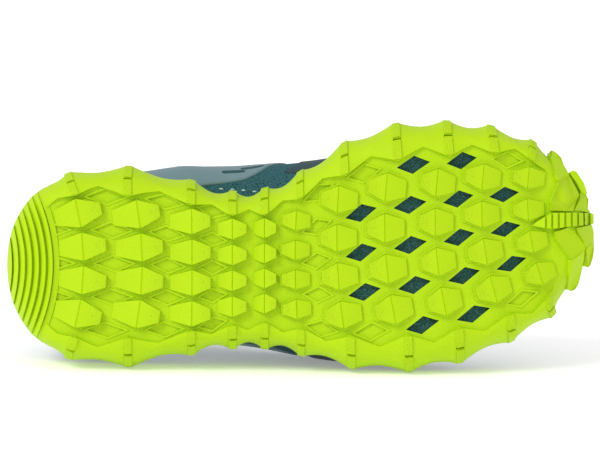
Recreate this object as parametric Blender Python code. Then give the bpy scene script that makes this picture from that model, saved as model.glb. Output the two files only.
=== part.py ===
"""Left trail running shoe, lying on its lateral side with the sole facing -Y.

Each piece is modelled in the shoe's own frame: x runs from the heel to the toe, y towards the
lateral side, z up from the ground, in metres. The last step lays the whole shoe down on the
floor face that carries it, with the origin under the middle of its box.
"""

import math
from collections import namedtuple

import bmesh
import bpy
import numpy as np
from mathutils import Matrix, Vector

# Sole, sizes in metres
SOLE_LENGTH = 0.290
BALL_WIDTH = 0.1232
WAIST_WIDTH = 0.0785
HEEL_WIDTH = 0.0996
LUG_HEIGHT = 0.0040
FLOOR_THICKNESS = 0.0032
WIDEST_HEIGHT = 0.0150
TOE_SPRING = 0.0160
HEEL_BEVEL = 0.0060
SCALLOP_DEPTH = 0.0033
CLAW_RELIEF = 0.0026
CLAW_ROOT = 0.0007
LIP_INSET = 0.0018
CUP_INSET = 0.0062
CUP_FLOOR_INSET = 0.0130
HEEL_STACK = 0.0260
BALL_STACK = 0.0180
LIP_RISE = 0.0055
WAIST_LIFT = 0.0010
GAP = 0.0003

# Sole, shares of its length, and of the size that each name gives
SPRING_START = 0.64
SPRING_POWER = 2.1
BEVEL_END = 0.13
WAIST_LIFT_PLACE = 0.44
WAIST_LIFT_REACH = 0.11
DROP_START = 0.22
DROP_END = 0.62
FOOTBED_SPRING = 0.85
BILGE_SHARE = 0.35
LIP_SCALLOP = 0.70
FIRST_SCALLOP = 0.40
RIM_END = 0.60
RIM_FADE = 0.35
RIM_RISE = 0.60

# Tread, sizes in metres
ROWS = 4
LUG_GAP = 0.0011
LUG_DRAFT = 0.0007
POCKET_DEPTH = 0.0010
HEEL_BAR_PITCH = 0.00343
HEEL_BAR_COUNT = 7
HEEL_BAR_HEIGHT = 0.0020
HEEL_BAR_MARGIN = 0.0030
HEEL_ARC_RADIUS = 0.0566
HEEL_BAR_DRAFT = 0.0004

# Tread, shares of a bar's pitch and height
HEEL_BAR_GROOVE = 0.25
HEEL_BAR_START = 0.35
HEEL_BAR_SECTIONS = 7

# Upper and what goes with it, sizes in metres
COLLAR_HEIGHT = 0.0980
INSTEP_HEIGHT = 0.0920
OPENING_WIDTH = 0.0640
WALL = 0.0020
COLLAR_PADDING = 0.0060
ARCH_SWELL = 0.0200
WAIST_EASE = 0.0024
OVERLAY = 0.0009
TONGUE_THICKNESS = 0.0045
TONGUE_RISE = 0.0200
INSOLE_THICKNESS = 0.0045
LACE_DIAMETER = 0.0032
EYELET_PAIRS = 6
EYELET_DIAMETER = 0.0046
EYELET_INSET = 0.0085
LOOP_WIDTH = 0.0120
LOOP_DEPTH = 0.0080
LOOP_THICKNESS = 0.0014
FILM_GAP = 0.0008
STAY_WIDTH = 0.0150
PANEL_MARGIN = 0.0012
LACE_LIFT = 0.0045
TONGUE_CROWN = 0.0005

# Upper, shares of the way from heel to toe (START, END, CLIMB) and of a ray's height (LEVEL, TOP, LOW)
FOOT_LEVEL = 0.03
TOE_CAP_START = 0.80
CAP_LOW = 0.20
CAP_CLIMB = 0.30
COUNTER_END = 0.18
COUNTER_LOW = 0.46
COUNTER_CLIMB = 0.24
STAY_START = 0.47
STAY_TOP = 0.985
PANEL_START = 0.235
PANEL_END = 0.66
PANEL_CLIMB = 0.33
PANEL_CLIMB_END = 0.72
PANEL_TOP = 0.74
PANEL_TIP = 0.10
PAD_END = 0.52
PAD_FADE = 0.12
PAD_LOW = 0.50
PAD_FULL = 0.80
PAD_ROLL = 0.84
PAD_THINNING = 0.45
COLLAR_CROWN = 0.35
EYELET_START = 0.52
EYELET_END = 0.90
EYELET_SIDES = 6
LACE_SIDES = 6
TONGUE_TIP = 0.93
TONGUE_TURN = 0.53
TONGUE_LEVELS = (0.84, 0.94, 1.00)
TONGUE_LEAN = (-0.62, 0.0, 0.78)
TONGUE_END = ((0.3, 0.54), (1.0, 0.66))
LOOP_LOW = 0.74
LOOP_HIGH = 0.93
LOOP_PINCH = 1.6
LOOP_FULLNESS = 0.6
LOOP_END = 0.10

# Lying pose: the height in the shoe, as shares of two sizes, at which its side carries it
LYING_STACK_SHARE = 0.50
LYING_COLLAR_SHARE = 0.12
SIDE_FACING = 0.60

WIDTHS = {"heel": HEEL_WIDTH, "waist": WAIST_WIDTH, "ball": BALL_WIDTH}

# One row for each cross row of lugs. along, skew, bow, back and front are shares of the sole's
# length, width is a share of the width it names, centre of the ball width, edge of the row's own width.
Column = namedtuple("Column", "along driver width centre skew bow edge back front")
TREAD = (
    Column(0.105, "heel", 0.926, 0.008, 0.000, 0.031, 0.141, 0.0415, 0.039),
    Column(0.209, "heel", 1.000, 0.010, 0.000, 0.026, 0.161, 0.0455, 0.0355),
    Column(0.3165, "heel", 0.871, 0.014, 0.000, 0.002, 0.152, 0.038, 0.031),
    Column(0.386, "waist", 1.000, 0.024, 0.000, 0.000, 0.166, 0.025, 0.024),
    Column(0.440, "waist", 1.020, 0.018, 0.000, 0.000, 0.181, 0.0186, 0.020),
    Column(0.501, "ball", 0.744, -0.002, 0.002, -0.009, 0.161, 0.025, 0.026),
    Column(0.581, "ball", 0.912, -0.034, 0.0134, -0.018, 0.158, 0.030, 0.0355),
    Column(0.674, "ball", 1.000, -0.066, 0.0237, -0.030, 0.162, 0.032, 0.0355),
    Column(0.761, "ball", 0.976, -0.089, 0.0237, -0.032, 0.158, 0.029, 0.033),
    Column(0.843, "ball", 0.8725, -0.122, 0.0355, -0.034, 0.141, 0.032, 0.032),
    Column(0.9155, "ball", 0.7085, -0.143, 0.0355, -0.028, 0.124, 0.027, 0.030),
)
BRAKING_COLUMNS = 5
RAMP_END = 0.235
STEEP_END = 0.185
RAMP_DROP = 0.30

# Rows of the outline before and after the tread: shares as above, with the edge's depth of scallop.
End = namedtuple("End", "along driver width centre reach")
HEEL_ENDS = (End(0.0128, "heel", 0.414, 0.004, 0.150), End(0.043, "heel", 0.685, 0.006, 0.145))
TOE_ENDS = (End(0.957, "ball", 0.520, -0.126, 0.170), End(0.987, "ball", 0.300, -0.119, 0.180))
HEEL_TIP_CENTRE = 0.002
TOE_TIP_CENTRE = -0.119
SPINE_START = 0.17
SPINE_END = 0.87
HEEL_TIP_REACH = 0.150
TOE_TIP_REACH = 0.190

# Rings of the sole from the middle of the underside round to the middle of the cup's floor.
# inset is a share of the edge's reach, rise of the widest line's height.
Ring = namedtuple("Ring", "inset rise lug scallop")
UNDER_RINGS = (
    Ring(1.00, 0.00, 0.00, 0.00),
    Ring(0.96, 0.00, 1.00, 0.00),
    Ring(0.64, 0.06, 0.95, 0.20),
    Ring(0.32, 0.27, 0.65, 0.60),
    Ring(0.08, 0.62, 0.20, 1.00),
    Ring(0.00, 1.00, 0.00, 1.00),
)
CUSP_POWER = 2.2
VALLEY_LUG_SHARE = 0.35
ZIGZAG_SHARE = 0.28
SCALLOP_PHASES = (0.0, 0.3, 0.7)
END_PHASES = (0.0, 0.33, 0.67)

# Windows show the midsole between these columns; the other gaps of the lattice are pockets.
WINDOWS = {7: (1, 2, 3), 8: (0, 1, 2, 3, 4), 9: (0, 1, 2, 3, 4), 10: (1, 2, 3)}
DIAMOND_LENGTH = 0.61
DIAMOND_WIDTH = 0.43

# Rays of the upper from the heel (0) to the toe (1). top_x is a share of the sole's length, half of
# half the opening's width, high of the height that driver names; low and swell place the lower
# handle, reach and drop the upper one, as shares of the ray's height.
HEIGHTS = {"collar": COLLAR_HEIGHT, "instep": INSTEP_HEIGHT}
Ray = namedtuple("Ray", "along top_x half high driver low swell reach drop")
RAYS = (
    Ray(0.00, 0.052, 0.00, 1.000, "collar", 0.40, 0.06, -0.12, 0.40),
    Ray(0.09, 0.062, 0.46, 0.975, "collar", 0.40, 0.08, -0.08, 0.40),
    Ray(0.18, 0.108, 0.85, 0.850, "collar", 0.40, 0.13, 0.04, 0.40),
    Ray(0.27, 0.175, 1.00, 0.755, "collar", 0.40, 0.15, 0.12, 0.40),
    Ray(0.36, 0.245, 1.00, 0.775, "collar", 0.40, 0.14, 0.18, 0.38),
    Ray(0.44, 0.312, 0.88, 0.930, "instep", 0.41, 0.13, 0.25, 0.33),
    Ray(0.51, 0.362, 0.66, 1.000, "instep", 0.42, 0.12, 0.33, 0.27),
    Ray(0.59, 0.412, 0.48, 0.980, "instep", 0.42, 0.12, 0.41, 0.21),
    Ray(0.68, 0.467, 0.40, 0.900, "instep", 0.42, 0.12, 0.47, 0.18),
    Ray(0.78, 0.527, 0.34, 0.815, "instep", 0.44, 0.12, 0.52, 0.16),
    Ray(0.88, 0.580, 0.28, 0.745, "instep", 0.47, 0.09, 0.68, 0.16),
    Ray(0.95, 0.612, 0.17, 0.705, "instep", 0.51, 0.05, 0.95, 0.16),
    Ray(1.00, 0.624, 0.00, 0.690, "instep", 0.54, 0.04, 1.15, 0.16),
)
ARCH_START = 0.16
ARCH_PEAK = 0.42
ARCH_END = 0.66
UPPER_LEVELS = (0.00, 0.14, 0.28, 0.42, 0.56, 0.70, 0.84, 0.94, 1.00)
UPPER_PER_SPAN = 2

COLOURS = {  # linear red, green, blue; roughness
    "lime_rubber": (0.52, 0.80, 0.02, 0.55),
    "midsole_foam": (0.03, 0.07, 0.08, 0.85),
    "vamp_mesh": (0.03, 0.10, 0.11, 0.85),
    "panel_film": (0.19, 0.28, 0.29, 0.55),
    "rand_film": (0.02, 0.06, 0.07, 0.5),
    "lining": (0.05, 0.09, 0.10, 0.9),
    "lace_cord": (0.52, 0.80, 0.02, 0.8),
}


def finish_of(name):
    """The piece's material, a Principled BSDF with its own colour and roughness."""
    found = bpy.data.materials.get(name)
    if found:
        return found
    made = bpy.data.materials.new(name)
    made.use_nodes = True
    shader = made.node_tree.nodes["Principled BSDF"]
    *colour, roughness = COLOURS[name]
    shader.inputs["Base Color"].default_value = (*colour, 1.0)
    shader.inputs["Roughness"].default_value = roughness
    shader.inputs["Metallic"].default_value = 0.0
    return made


def ease(value, start, end):
    """A soft step from 0 to 1 between two values."""
    share = min(max((value - start) / (end - start), 0.0), 1.0)
    return share * share * (3 - 2 * share)


def hermite(points, closed, per_span):
    """Samples a smooth curve through the points, with its speed set by the chords between them."""
    p = np.asarray(points, float)
    count = len(p)
    wrap = (lambda i: i % count) if closed else (lambda i: min(max(i, 0), count - 1))
    chord = [np.linalg.norm(p[wrap(i + 1)] - p[i]) for i in range(count)]
    tangent = []
    for i in range(count):
        before, after = p[wrap(i - 1)], p[wrap(i + 1)]
        back, ahead = chord[wrap(i - 1)], chord[i]
        if not closed and i == 0:
            tangent.append((after - p[i]) / ahead)
        elif not closed and i == count - 1:
            tangent.append((p[i] - before) / back)
        else:
            slope_in = (p[i] - before) / back
            slope_out = (after - p[i]) / ahead
            tangent.append((slope_in * ahead + slope_out * back) / (back + ahead))
    made = []
    for i in range(count if closed else count - 1):
        j = wrap(i + 1)
        for u in per_span(i):
            a = 2 * u**3 - 3 * u**2 + 1
            b = u**3 - 2 * u**2 + u
            made.append(a * p[i] + b * chord[i] * tangent[i] + (1 - a) * p[j]
                        + (u**3 - u**2) * chord[i] * tangent[j])
    if not closed:
        made.append(p[-1])
    return np.array(made)


def tip(row, side):
    """Where a row of the sole's table meets the outline: side is +1 lateral, -1 medial."""
    skew = getattr(row, "skew", 0.0)
    x = (row.along + side * skew / 2) * SOLE_LENGTH
    return (x, row.centre * BALL_WIDTH + side * row.width * WIDTHS[row.driver] / 2)


def edge_reach(row):
    """How far the rounded edge of the underside reaches in from the outline at a row."""
    if isinstance(row, End):
        return row.reach * HEEL_WIDTH
    return row.edge * row.width * WIDTHS[row.driver]


def column_point(row, across):
    """A point on a cross row of lugs: across runs from -1 at the medial tip to +1 at the lateral one."""
    x = (row.along + row.skew * across / 2 + row.bow * (1 - across**2)) * SOLE_LENGTH
    return np.array([x, row.centre * BALL_WIDTH + across * row.width * WIDTHS[row.driver] / 2])


def junction(row, j):
    """The j-th corner between the lugs of a cross row, from 0 at the medial edge lug to ROWS at the lateral."""
    return column_point(row, (1 - 2 * row.edge) * (2 * j / ROWS - 1))


def spring(x):
    """How far the sole's underside lifts off the ground at the toe and at the back of the heel."""
    share = x / SOLE_LENGTH
    toe = max(0.0, (share - SPRING_START) / (1 - SPRING_START))
    heel = max(0.0, 1 - share / BEVEL_END)
    arch = max(0.0, 1 - ((share - WAIST_LIFT_PLACE) / WAIST_LIFT_REACH) ** 2) ** 2
    return TOE_SPRING * toe**SPRING_POWER + HEEL_BEVEL * heel**2 + WAIST_LIFT * arch


def floor_under(x):
    """Height of the sole's underside between the lugs."""
    return LUG_HEIGHT + spring(x)


def footbed(x):
    """Height of the midsole's top."""
    share = ease(x / SOLE_LENGTH, DROP_START, DROP_END)
    return HEEL_STACK + (BALL_STACK - HEEL_STACK) * share + FOOTBED_SPRING * spring(x)


class Sole:
    """The sole's outline and the spine that its rings shrink towards, as paired samples of both sides."""

    def __init__(self):
        side_rows = (*HEEL_ENDS, *TREAD, *TOE_ENDS)
        lateral = [tip(row, 1) for row in side_rows]
        medial = [tip(row, -1) for row in side_rows]
        heel = (0.0, HEEL_TIP_CENTRE * BALL_WIDTH)
        toe = (SOLE_LENGTH, TOE_TIP_CENTRE * BALL_WIDTH)
        controls = [heel, *lateral, toe, *reversed(medial)]
        self.side = len(side_rows) + 1
        count = len(controls)
        mirror = [i if i < self.side else count - 1 - i for i in range(count)]
        phases = [self.phases_of(m) for m in mirror]
        for i in range(self.side, count):
            phases[i] = tuple(sorted((1 - u) % 1 for u in phases[i]))
        self.outline = hermite(controls, True, lambda i: phases[i])
        reaches = [HEEL_TIP_REACH * HEEL_WIDTH, *map(edge_reach, side_rows), TOE_TIP_REACH * HEEL_WIDTH]
        scallop, edge, cusp = [], [], []
        for i, span in enumerate(phases):
            near, far = (mirror[i], mirror[i] + 1) if i < self.side else (mirror[i] + 1, mirror[i])
            for u in span:
                scallop.append(self.inset(mirror[i], near, far, u))
                cusp.append(self.crest(near, far, u))
                edge.append(reaches[near] + (reaches[far] - reaches[near]) * u)
        self.scallop = np.array(scallop)
        self.cusp = np.array(cusp)
        self.edge = np.array(edge)
        self.count = len(self.outline)
        self.spine = self.spine_points()
        away = self.spine - self.outline
        self.inward = away / np.linalg.norm(away, axis=1)[:, None]

    def phases_of(self, span):
        first, last = len(HEEL_ENDS) + 1, len(HEEL_ENDS) + len(TREAD)
        return SCALLOP_PHASES if first - 1 <= span < last else END_PHASES

    def is_tip(self, control):
        return len(HEEL_ENDS) <= control <= len(HEEL_ENDS) + len(TREAD)

    def crest(self, near, far, u):
        """1 on a rib and 0 in the middle of the hollow beside it."""
        up = max(0.0, 1 - 2 * u) ** CUSP_POWER if self.is_tip(near) else 0.0
        down = max(0.0, 2 * u - 1) ** CUSP_POWER if self.is_tip(far) else 0.0
        return max(up, down)

    def inset(self, span, near, far, u):
        """How far the edge lies inside the smooth outline."""
        if span < len(HEEL_ENDS):
            return 0.0
        if span == len(HEEL_ENDS):
            return FIRST_SCALLOP * SCALLOP_DEPTH * (1 - self.crest(near, far, u))
        depth = SCALLOP_DEPTH if span < len(HEEL_ENDS) + len(TREAD) else CLAW_RELIEF
        return depth * (1 - self.crest(near, far, u))

    def spine_points(self):
        pairs = [(k, -k % self.count) for k in range(self.count)]
        middle = np.array([(self.outline[a] + self.outline[b]) / 2 for a, b in pairs])
        order = np.argsort(middle[: self.count // 2 + 1, 0])
        along, centre = middle[order, 0], middle[order, 1]
        x = np.clip(middle[:, 0], SPINE_START * SOLE_LENGTH, SPINE_END * SOLE_LENGTH)
        return np.column_stack([x, np.interp(x, along, centre)])

    def at(self, inset):
        """Plan points this far inside the smooth outline, towards the spine."""
        return self.outline + self.inward * np.broadcast_to(inset, self.count)[:, None]

    def zigzag(self):
        """How far the edge lugs' inner edge steps out between two ribs."""
        return ZIGZAG_SHARE * self.edge * (1 - np.sqrt(self.cusp))

    def kept_inside(self, point, margin):
        """A plan point, drawn in to this far inside the smooth outline where it lies nearer to it."""
        short = margin - self.distance(*point)
        if short <= 0:
            return point
        nearest = int(np.linalg.norm(self.outline - point, axis=1).argmin())
        return point + self.inward[nearest] * short

    def distance(self, x, y):
        """Distance from a plan point to the smooth outline."""
        a, b = self.outline, np.roll(self.outline, -1, axis=0)
        along = b - a
        share = np.clip(((np.array([x, y]) - a) * along).sum(1) / (along**2).sum(1), 0, 1)
        return float(np.linalg.norm(a + along * share[:, None] - (x, y), axis=1).min())


SOLE = Sole()


def with_height(plan, height):
    """Plan points with the height that a function gives at each of their x."""
    return np.column_stack([plan, [height(x) for x in plan[:, 0]]])


def new_object(name, mesh, collection):
    made = bpy.data.objects.new(name, mesh)
    collection.objects.link(made)
    return made


def mesh_from(bm, name, merge=1e-6):
    """Welds the form's doubles, turns its faces outwards and makes it a mesh."""
    bmesh.ops.remove_doubles(bm, verts=bm.verts, dist=merge)
    bmesh.ops.dissolve_degenerate(bm, edges=bm.edges, dist=merge)
    bmesh.ops.recalc_face_normals(bm, faces=bm.faces)
    mesh = bpy.data.meshes.new(name)
    bm.to_mesh(mesh)
    bm.free()
    return mesh


def loft(bm, rings, wrap=False):
    """Joins closed rings of equal count with quads; wrap also joins the last ring to the first."""
    made = [[bm.verts.new(point) for point in ring] for ring in rings]
    pairs = list(zip(made, made[1:]))
    if wrap:
        pairs.append((made[-1], made[0]))
    for low, high in pairs:
        for k in range(len(low)):
            after = (k + 1) % len(low)
            bm.faces.new((low[k], low[after], high[after], high[k]))
    return made


def prism(bm, low, high):
    """A closed solid between two matched loops of points, low and high."""
    bottom = [bm.verts.new(point) for point in low]
    top = [bm.verts.new(point) for point in high]
    bm.faces.new(bottom[::-1])
    bm.faces.new(top)
    for k in range(len(low)):
        after = (k + 1) % len(low)
        bm.faces.new((bottom[k], bottom[after], top[after], top[k]))
    return bottom, top


def slab(name, outer, inner):
    """A closed plate between two grids of points that face each other."""
    bm = bmesh.new()
    rows, columns = len(outer), len(outer[0])
    sheets = [[[bm.verts.new(p) for p in line] for line in grid] for grid in (outer, inner)]
    for top, sheet in enumerate(sheets):
        for i in range(rows - 1):
            for j in range(columns - 1):
                face = [sheet[i][j], sheet[i + 1][j], sheet[i + 1][j + 1], sheet[i][j + 1]]
                bm.faces.new(face if top else face[::-1])
    rim = [(i, 0) for i in range(rows)] + [(rows - 1, j) for j in range(1, columns)]
    rim += [(i, columns - 1) for i in range(rows - 2, -1, -1)]
    rim += [(0, j) for j in range(columns - 2, 0, -1)]
    for (i, j), (m, n) in zip(rim, rim[1:] + rim[:1]):
        bm.faces.new((sheets[0][i][j], sheets[0][m][n], sheets[1][m][n], sheets[1][i][j]))
    return mesh_from(bm, name)


def cut_or_join(target, operation, other):
    made = target.modifiers.new(operation.lower(), "BOOLEAN")
    made.operation = operation
    made.solver = "EXACT"
    made.object = other
    return made


def hide_helper(helper):
    helper.hide_render = True
    helper.display_type = "WIRE"


# Outsole


def edge_relief():
    """How far the edge lugs stand down from the underside: full on a rib, less in a hollow."""
    return LUG_HEIGHT * (VALLEY_LUG_SHARE + (1 - VALLEY_LUG_SHARE) * SOLE.cusp)


def lip_height(x):
    return footbed(x) + LIP_RISE


def cup_rings():
    """The cup's rings, from the spine under the floor, round its edge and lip, to the spine above it."""
    rings = [with_height(SOLE.spine, floor_under)]
    for ring in UNDER_RINGS:
        inset = ring.inset * (SOLE.edge - SOLE.zigzag()) + ring.scallop * SOLE.scallop
        plan = SOLE.at(inset)
        points = with_height(plan, floor_under)
        points[:, 2] += ring.rise * WIDEST_HEIGHT - ring.lug * edge_relief()
        rings.append(points)
    rings.append(with_height(SOLE.at(LIP_INSET + LIP_SCALLOP * SOLE.scallop), lip_height))
    rings.append(with_height(SOLE.at(CUP_INSET), lip_height))
    rings.append(with_height(SOLE.at(CUP_INSET), footbed))
    rings.append(with_height(SOLE.at((CUP_INSET + CUP_FLOOR_INSET) / 2), cup_bilge))
    rings.append(with_height(SOLE.at(CUP_FLOOR_INSET), cup_floor))
    rings.append(with_height(SOLE.spine, cup_floor))
    return rings


def cup_floor(x):
    return floor_under(x) + FLOOR_THICKNESS


def cup_bilge(x):
    return cup_floor(x) + BILGE_SHARE * (footbed(x) - cup_floor(x))


def lug_corners(row, j, steep_front):
    """The six corners of a lug, from its medial ridge corner forwards round, with its height at each."""
    medial, lateral = junction(row, j), junction(row, j + 1)
    across = (lateral - medial) / np.linalg.norm(lateral - medial)
    ahead = np.array([across[1], -across[0]])
    middle = (medial + lateral) / 2
    pitch = np.linalg.norm(lateral - medial)
    half = pitch / 2 - LUG_GAP
    front_end, back_end = (STEEP_END, RAMP_END) if steep_front else (RAMP_END, STEEP_END)
    front_high, back_high = (1.0, RAMP_DROP) if steep_front else (RAMP_DROP, 1.0)
    front = middle + ahead * row.front * SOLE_LENGTH
    back = middle - ahead * row.back * SOLE_LENGTH
    return [
        (middle - across * half, 1.0),
        (front - across * front_end * pitch, front_high),
        (front + across * front_end * pitch, front_high),
        (middle + across * half, 1.0),
        (back + across * back_end * pitch, back_high),
        (back - across * back_end * pitch, back_high),
    ]


def add_lug(bm, corners):
    """A six-sided lug whose face falls away from the ridge between its first and fourth corners."""
    middle = sum(point for point, _ in corners) / 6
    feet, faces = [], []
    for point, high in corners:
        foot = point + (point - middle) / np.linalg.norm(point - middle) * LUG_DRAFT
        feet.append((*foot, floor_under(foot[0]) + FLOOR_THICKNESS / 2))
        faces.append((*point, floor_under(point[0]) - high * LUG_HEIGHT))
    low, _ = prism(bm, faces, feet)
    bmesh.ops.connect_verts(bm, verts=[low[0], low[3]])


def heel_arc_centre():
    return np.array([-HEEL_ARC_RADIUS + HEEL_BAR_PITCH, HEEL_TIP_CENTRE * BALL_WIDTH])


def underside(x, y):
    """Height of the sole's underside at a plan point, up its rounded edge too, without any lug."""
    k = int(np.linalg.norm(SOLE.outline - (x, y), axis=1).argmin())
    rings, edge = UNDER_RINGS[::-1], SOLE.edge[k] - SOLE.zigzag()[k]
    insets = [ring.inset * edge + ring.scallop * SOLE.scallop[k] for ring in rings]
    rise = np.interp(SOLE.distance(x, y), insets, [ring.rise for ring in rings])
    return floor_under(x) + WIDEST_HEIGHT * float(rise)


def add_heel_bar(bm, number):
    """One curved bar of the heel's crescent: it rises towards the toe and drops off steeply there."""
    centre = heel_arc_centre()
    inner = HEEL_ARC_RADIUS + (number + HEEL_BAR_GROOVE) * HEEL_BAR_PITCH
    outer = HEEL_ARC_RADIUS + (number + 1) * HEEL_BAR_PITCH
    ends = [bar_end(centre, outer, side) for side in (-1, 1)]
    sections = []
    for angle in np.linspace(*ends, HEEL_BAR_SECTIONS):
        way = np.array([math.cos(angle), math.sin(angle)])
        low, high = centre + way * inner, centre + way * (outer - HEEL_BAR_DRAFT)
        foot = centre + way * outer
        sections.append([
            (*low, underside(*low) + FLOOR_THICKNESS / 2),
            (*low, underside(*low) - HEEL_BAR_START * HEEL_BAR_HEIGHT),
            (*high, underside(*high) - HEEL_BAR_HEIGHT),
            (*foot, underside(*foot) + FLOOR_THICKNESS / 2),
        ])
    rings = loft(bm, sections)
    bm.faces.new(rings[0][::-1])
    bm.faces.new(rings[-1])


def bar_end(centre, radius, side):
    """The angle at which a heel bar's arc comes near the outline on one side."""
    for angle in np.arange(0.02, 1.2, 0.01):
        point = centre + radius * np.array([math.cos(angle), side * math.sin(angle)])
        if SOLE.distance(*point) < HEEL_BAR_MARGIN:
            return side * angle
    return side * 1.2


# Toe claws, tip to root: x as a share of the sole's length, y and width of the ball width,
# with y from the toe's centre.
Claw = namedtuple("Claw", "x y width")
CLAWS = {
    "inner_medial": (Claw(0.929, -0.334, 0.016), Claw(0.934, -0.276, 0.036), Claw(0.941, -0.214, 0.044),
                     Claw(0.953, -0.160, 0.092), Claw(0.945, -0.108, 0.076)),
    "outer_medial": (Claw(0.964, -0.256, 0.012), Claw(0.974, -0.212, 0.028), Claw(0.982, -0.168, 0.040),
                     Claw(0.976, -0.128, 0.056), Claw(0.968, -0.098, 0.032)),
    "inner_lateral": (Claw(0.961, 0.228, 0.020), Claw(0.966, 0.150, 0.044), Claw(0.968, 0.080, 0.056),
                      Claw(0.953, 0.036, 0.080), Claw(0.941, -0.010, 0.048)),
    "outer_lateral": (Claw(0.986, 0.132, 0.012), Claw(0.990, 0.108, 0.024), Claw(0.991, 0.064, 0.028),
                      Claw(0.989, 0.020, 0.040), Claw(0.981, -0.018, 0.052)),
}
CLAW_HEIGHT = 0.85
STRIP_START = 0.890
STRIP_HALF_WIDTH = 0.030
STRIP_CENTRE = -0.0506
STRIP_TEETH = 8
STRIP_POINT = 0.15
STRIP_TAPER = 0.25
TOOTH_HEIGHT = 0.80
TOOTH_ROOT = 0.45


def add_claw(bm, rows):
    """A bent toe lug: sections along its arm that follow the toe's rounded underside."""
    middle = [np.array([row.x * SOLE_LENGTH, (TOE_TIP_CENTRE + row.y) * BALL_WIDTH]) for row in rows]
    sections = []
    for number, row in enumerate(rows):
        along = middle[min(number + 1, len(rows) - 1)] - middle[max(number - 1, 0)]
        across = np.array([-along[1], along[0]]) / np.linalg.norm(along) * row.width * BALL_WIDTH / 2
        sections.append(toe_section(middle[number] - across, middle[number] + across, CLAW_HEIGHT))
    rings = loft(bm, sections)
    bm.faces.new(rings[0][::-1])
    bm.faces.new(rings[-1])


def toe_section(left, right, height):
    """Four corners across a toe lug: two a share of a lug's height off the toe and two in its wall."""
    outer, inner = [], []
    for point in (left, right):
        x, y = SOLE.kept_inside(np.array(point), CLAW_RELIEF + CLAW_ROOT)
        step = CLAW_ROOT
        slope_x = (underside(x + step, y) - underside(x - step, y)) / (2 * step)
        slope_y = (underside(x, y + step) - underside(x, y - step)) / (2 * step)
        out = np.array([slope_x, slope_y, -1.0]) / math.hypot(slope_x, slope_y, 1.0)
        base = np.array([x, y, underside(x, y)])
        outer.append(base + out * height * LUG_HEIGHT)
        inner.append(base - out * CLAW_ROOT)
    return outer + inner[::-1]


def add_toe_strip(bm):
    """The toothed strip at the toe, on the inner side of its centre line."""
    start, end = STRIP_START * SOLE_LENGTH, SOLE_LENGTH - GAP
    half = STRIP_HALF_WIDTH * BALL_WIDTH
    y = (TOE_TIP_CENTRE + STRIP_CENTRE) * BALL_WIDTH
    sections = []
    for number, x in enumerate(np.linspace(start, end, 2 * STRIP_TEETH + 1)):
        width = half * min(1.0, STRIP_POINT + (x - start) / (STRIP_TAPER * (end - start)))
        height = TOOTH_HEIGHT if number % 2 else TOOTH_ROOT
        sections.append(toe_section((x, y - width), (x, y + width), height))
    rings = loft(bm, sections)
    bm.faces.new(rings[0][::-1])
    bm.faces.new(rings[-1])


def diamond(i, j):
    """The four plan corners of the lattice's gap between two columns and two rows of lugs."""
    start, end = junction(TREAD[i - 1], j), junction(TREAD[i], j)
    middle, span = (start + end) / 2, end - start
    near = np.linalg.norm(junction(TREAD[i - 1], 1) - junction(TREAD[i - 1], 0))
    far = np.linalg.norm(junction(TREAD[i], 1) - junction(TREAD[i], 0))
    half = DIAMOND_WIDTH / 2 * (near + far) / 2
    across = np.array([-span[1], span[0]]) / np.linalg.norm(span)
    along = span * DIAMOND_LENGTH / 2
    return [middle - along, middle - across * half, middle + along, middle + across * half]


def add_diamond(bm, corners, low, high):
    """A four-sided prism through the sole's floor, between two heights above its underside."""
    ends = [[(x, y, floor_under(x) + height) for x, y in corners] for height in (low, high)]
    prism(bm, *ends)


def make_outsole(parts, cutters):
    bm = bmesh.new()
    loft(bm, cup_rings())
    outsole = new_object("outsole", mesh_from(bm, "outsole"), parts)
    bm = bmesh.new()
    for number, row in enumerate(TREAD):
        for j in range(ROWS):
            add_lug(bm, lug_corners(row, j, number < BRAKING_COLUMNS))
    for number in range(HEEL_BAR_COUNT):
        add_heel_bar(bm, number)
    lugs = new_object("tread_lugs", mesh_from(bm, "tread_lugs"), cutters)
    bm = bmesh.new()
    for rows in CLAWS.values():
        add_claw(bm, rows)
    add_toe_strip(bm)
    claws = new_object("toe_claws", mesh_from(bm, "toe_claws"), cutters)
    bm = bmesh.new()
    for i in range(1, len(TREAD)):
        for j in range(ROWS + 1):
            if j in WINDOWS.get(i, ()):
                add_diamond(bm, diamond(i, j), -LUG_HEIGHT, 2 * FLOOR_THICKNESS)
            elif 0 < j < ROWS:
                add_diamond(bm, diamond(i, j), -LUG_HEIGHT, POCKET_DEPTH)
    gaps = new_object("lattice_gaps", mesh_from(bm, "lattice_gaps"), cutters)
    for operation, other in (("UNION", lugs), ("UNION", claws), ("DIFFERENCE", gaps)):
        cut_or_join(outsole, operation, other).use_self = True
    for helper in (lugs, claws, gaps):
        hide_helper(helper)
    outsole.data.materials.append(finish_of("lime_rubber"))
    return outsole


# Midsole and insole


def make_midsole(parts):
    """The foam that fills the cup up to the footbed, clear of its walls."""
    middle = (CUP_INSET + CUP_FLOOR_INSET) / 2
    rings = [with_height(SOLE.spine, lambda x: cup_floor(x) + GAP)]
    rings.append(with_height(SOLE.at(CUP_FLOOR_INSET + 2 * GAP), lambda x: cup_floor(x) + GAP))
    rings.append(with_height(SOLE.at(middle + 1.5 * GAP), cup_bilge))
    rings.append(with_height(SOLE.at(CUP_INSET + GAP), footbed))
    rings.append(with_height(SOLE.spine, footbed))
    bm = bmesh.new()
    loft(bm, rings)
    midsole = new_object("midsole", mesh_from(bm, "midsole"), parts)
    midsole.data.materials.append(finish_of("midsole_foam"))


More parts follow.
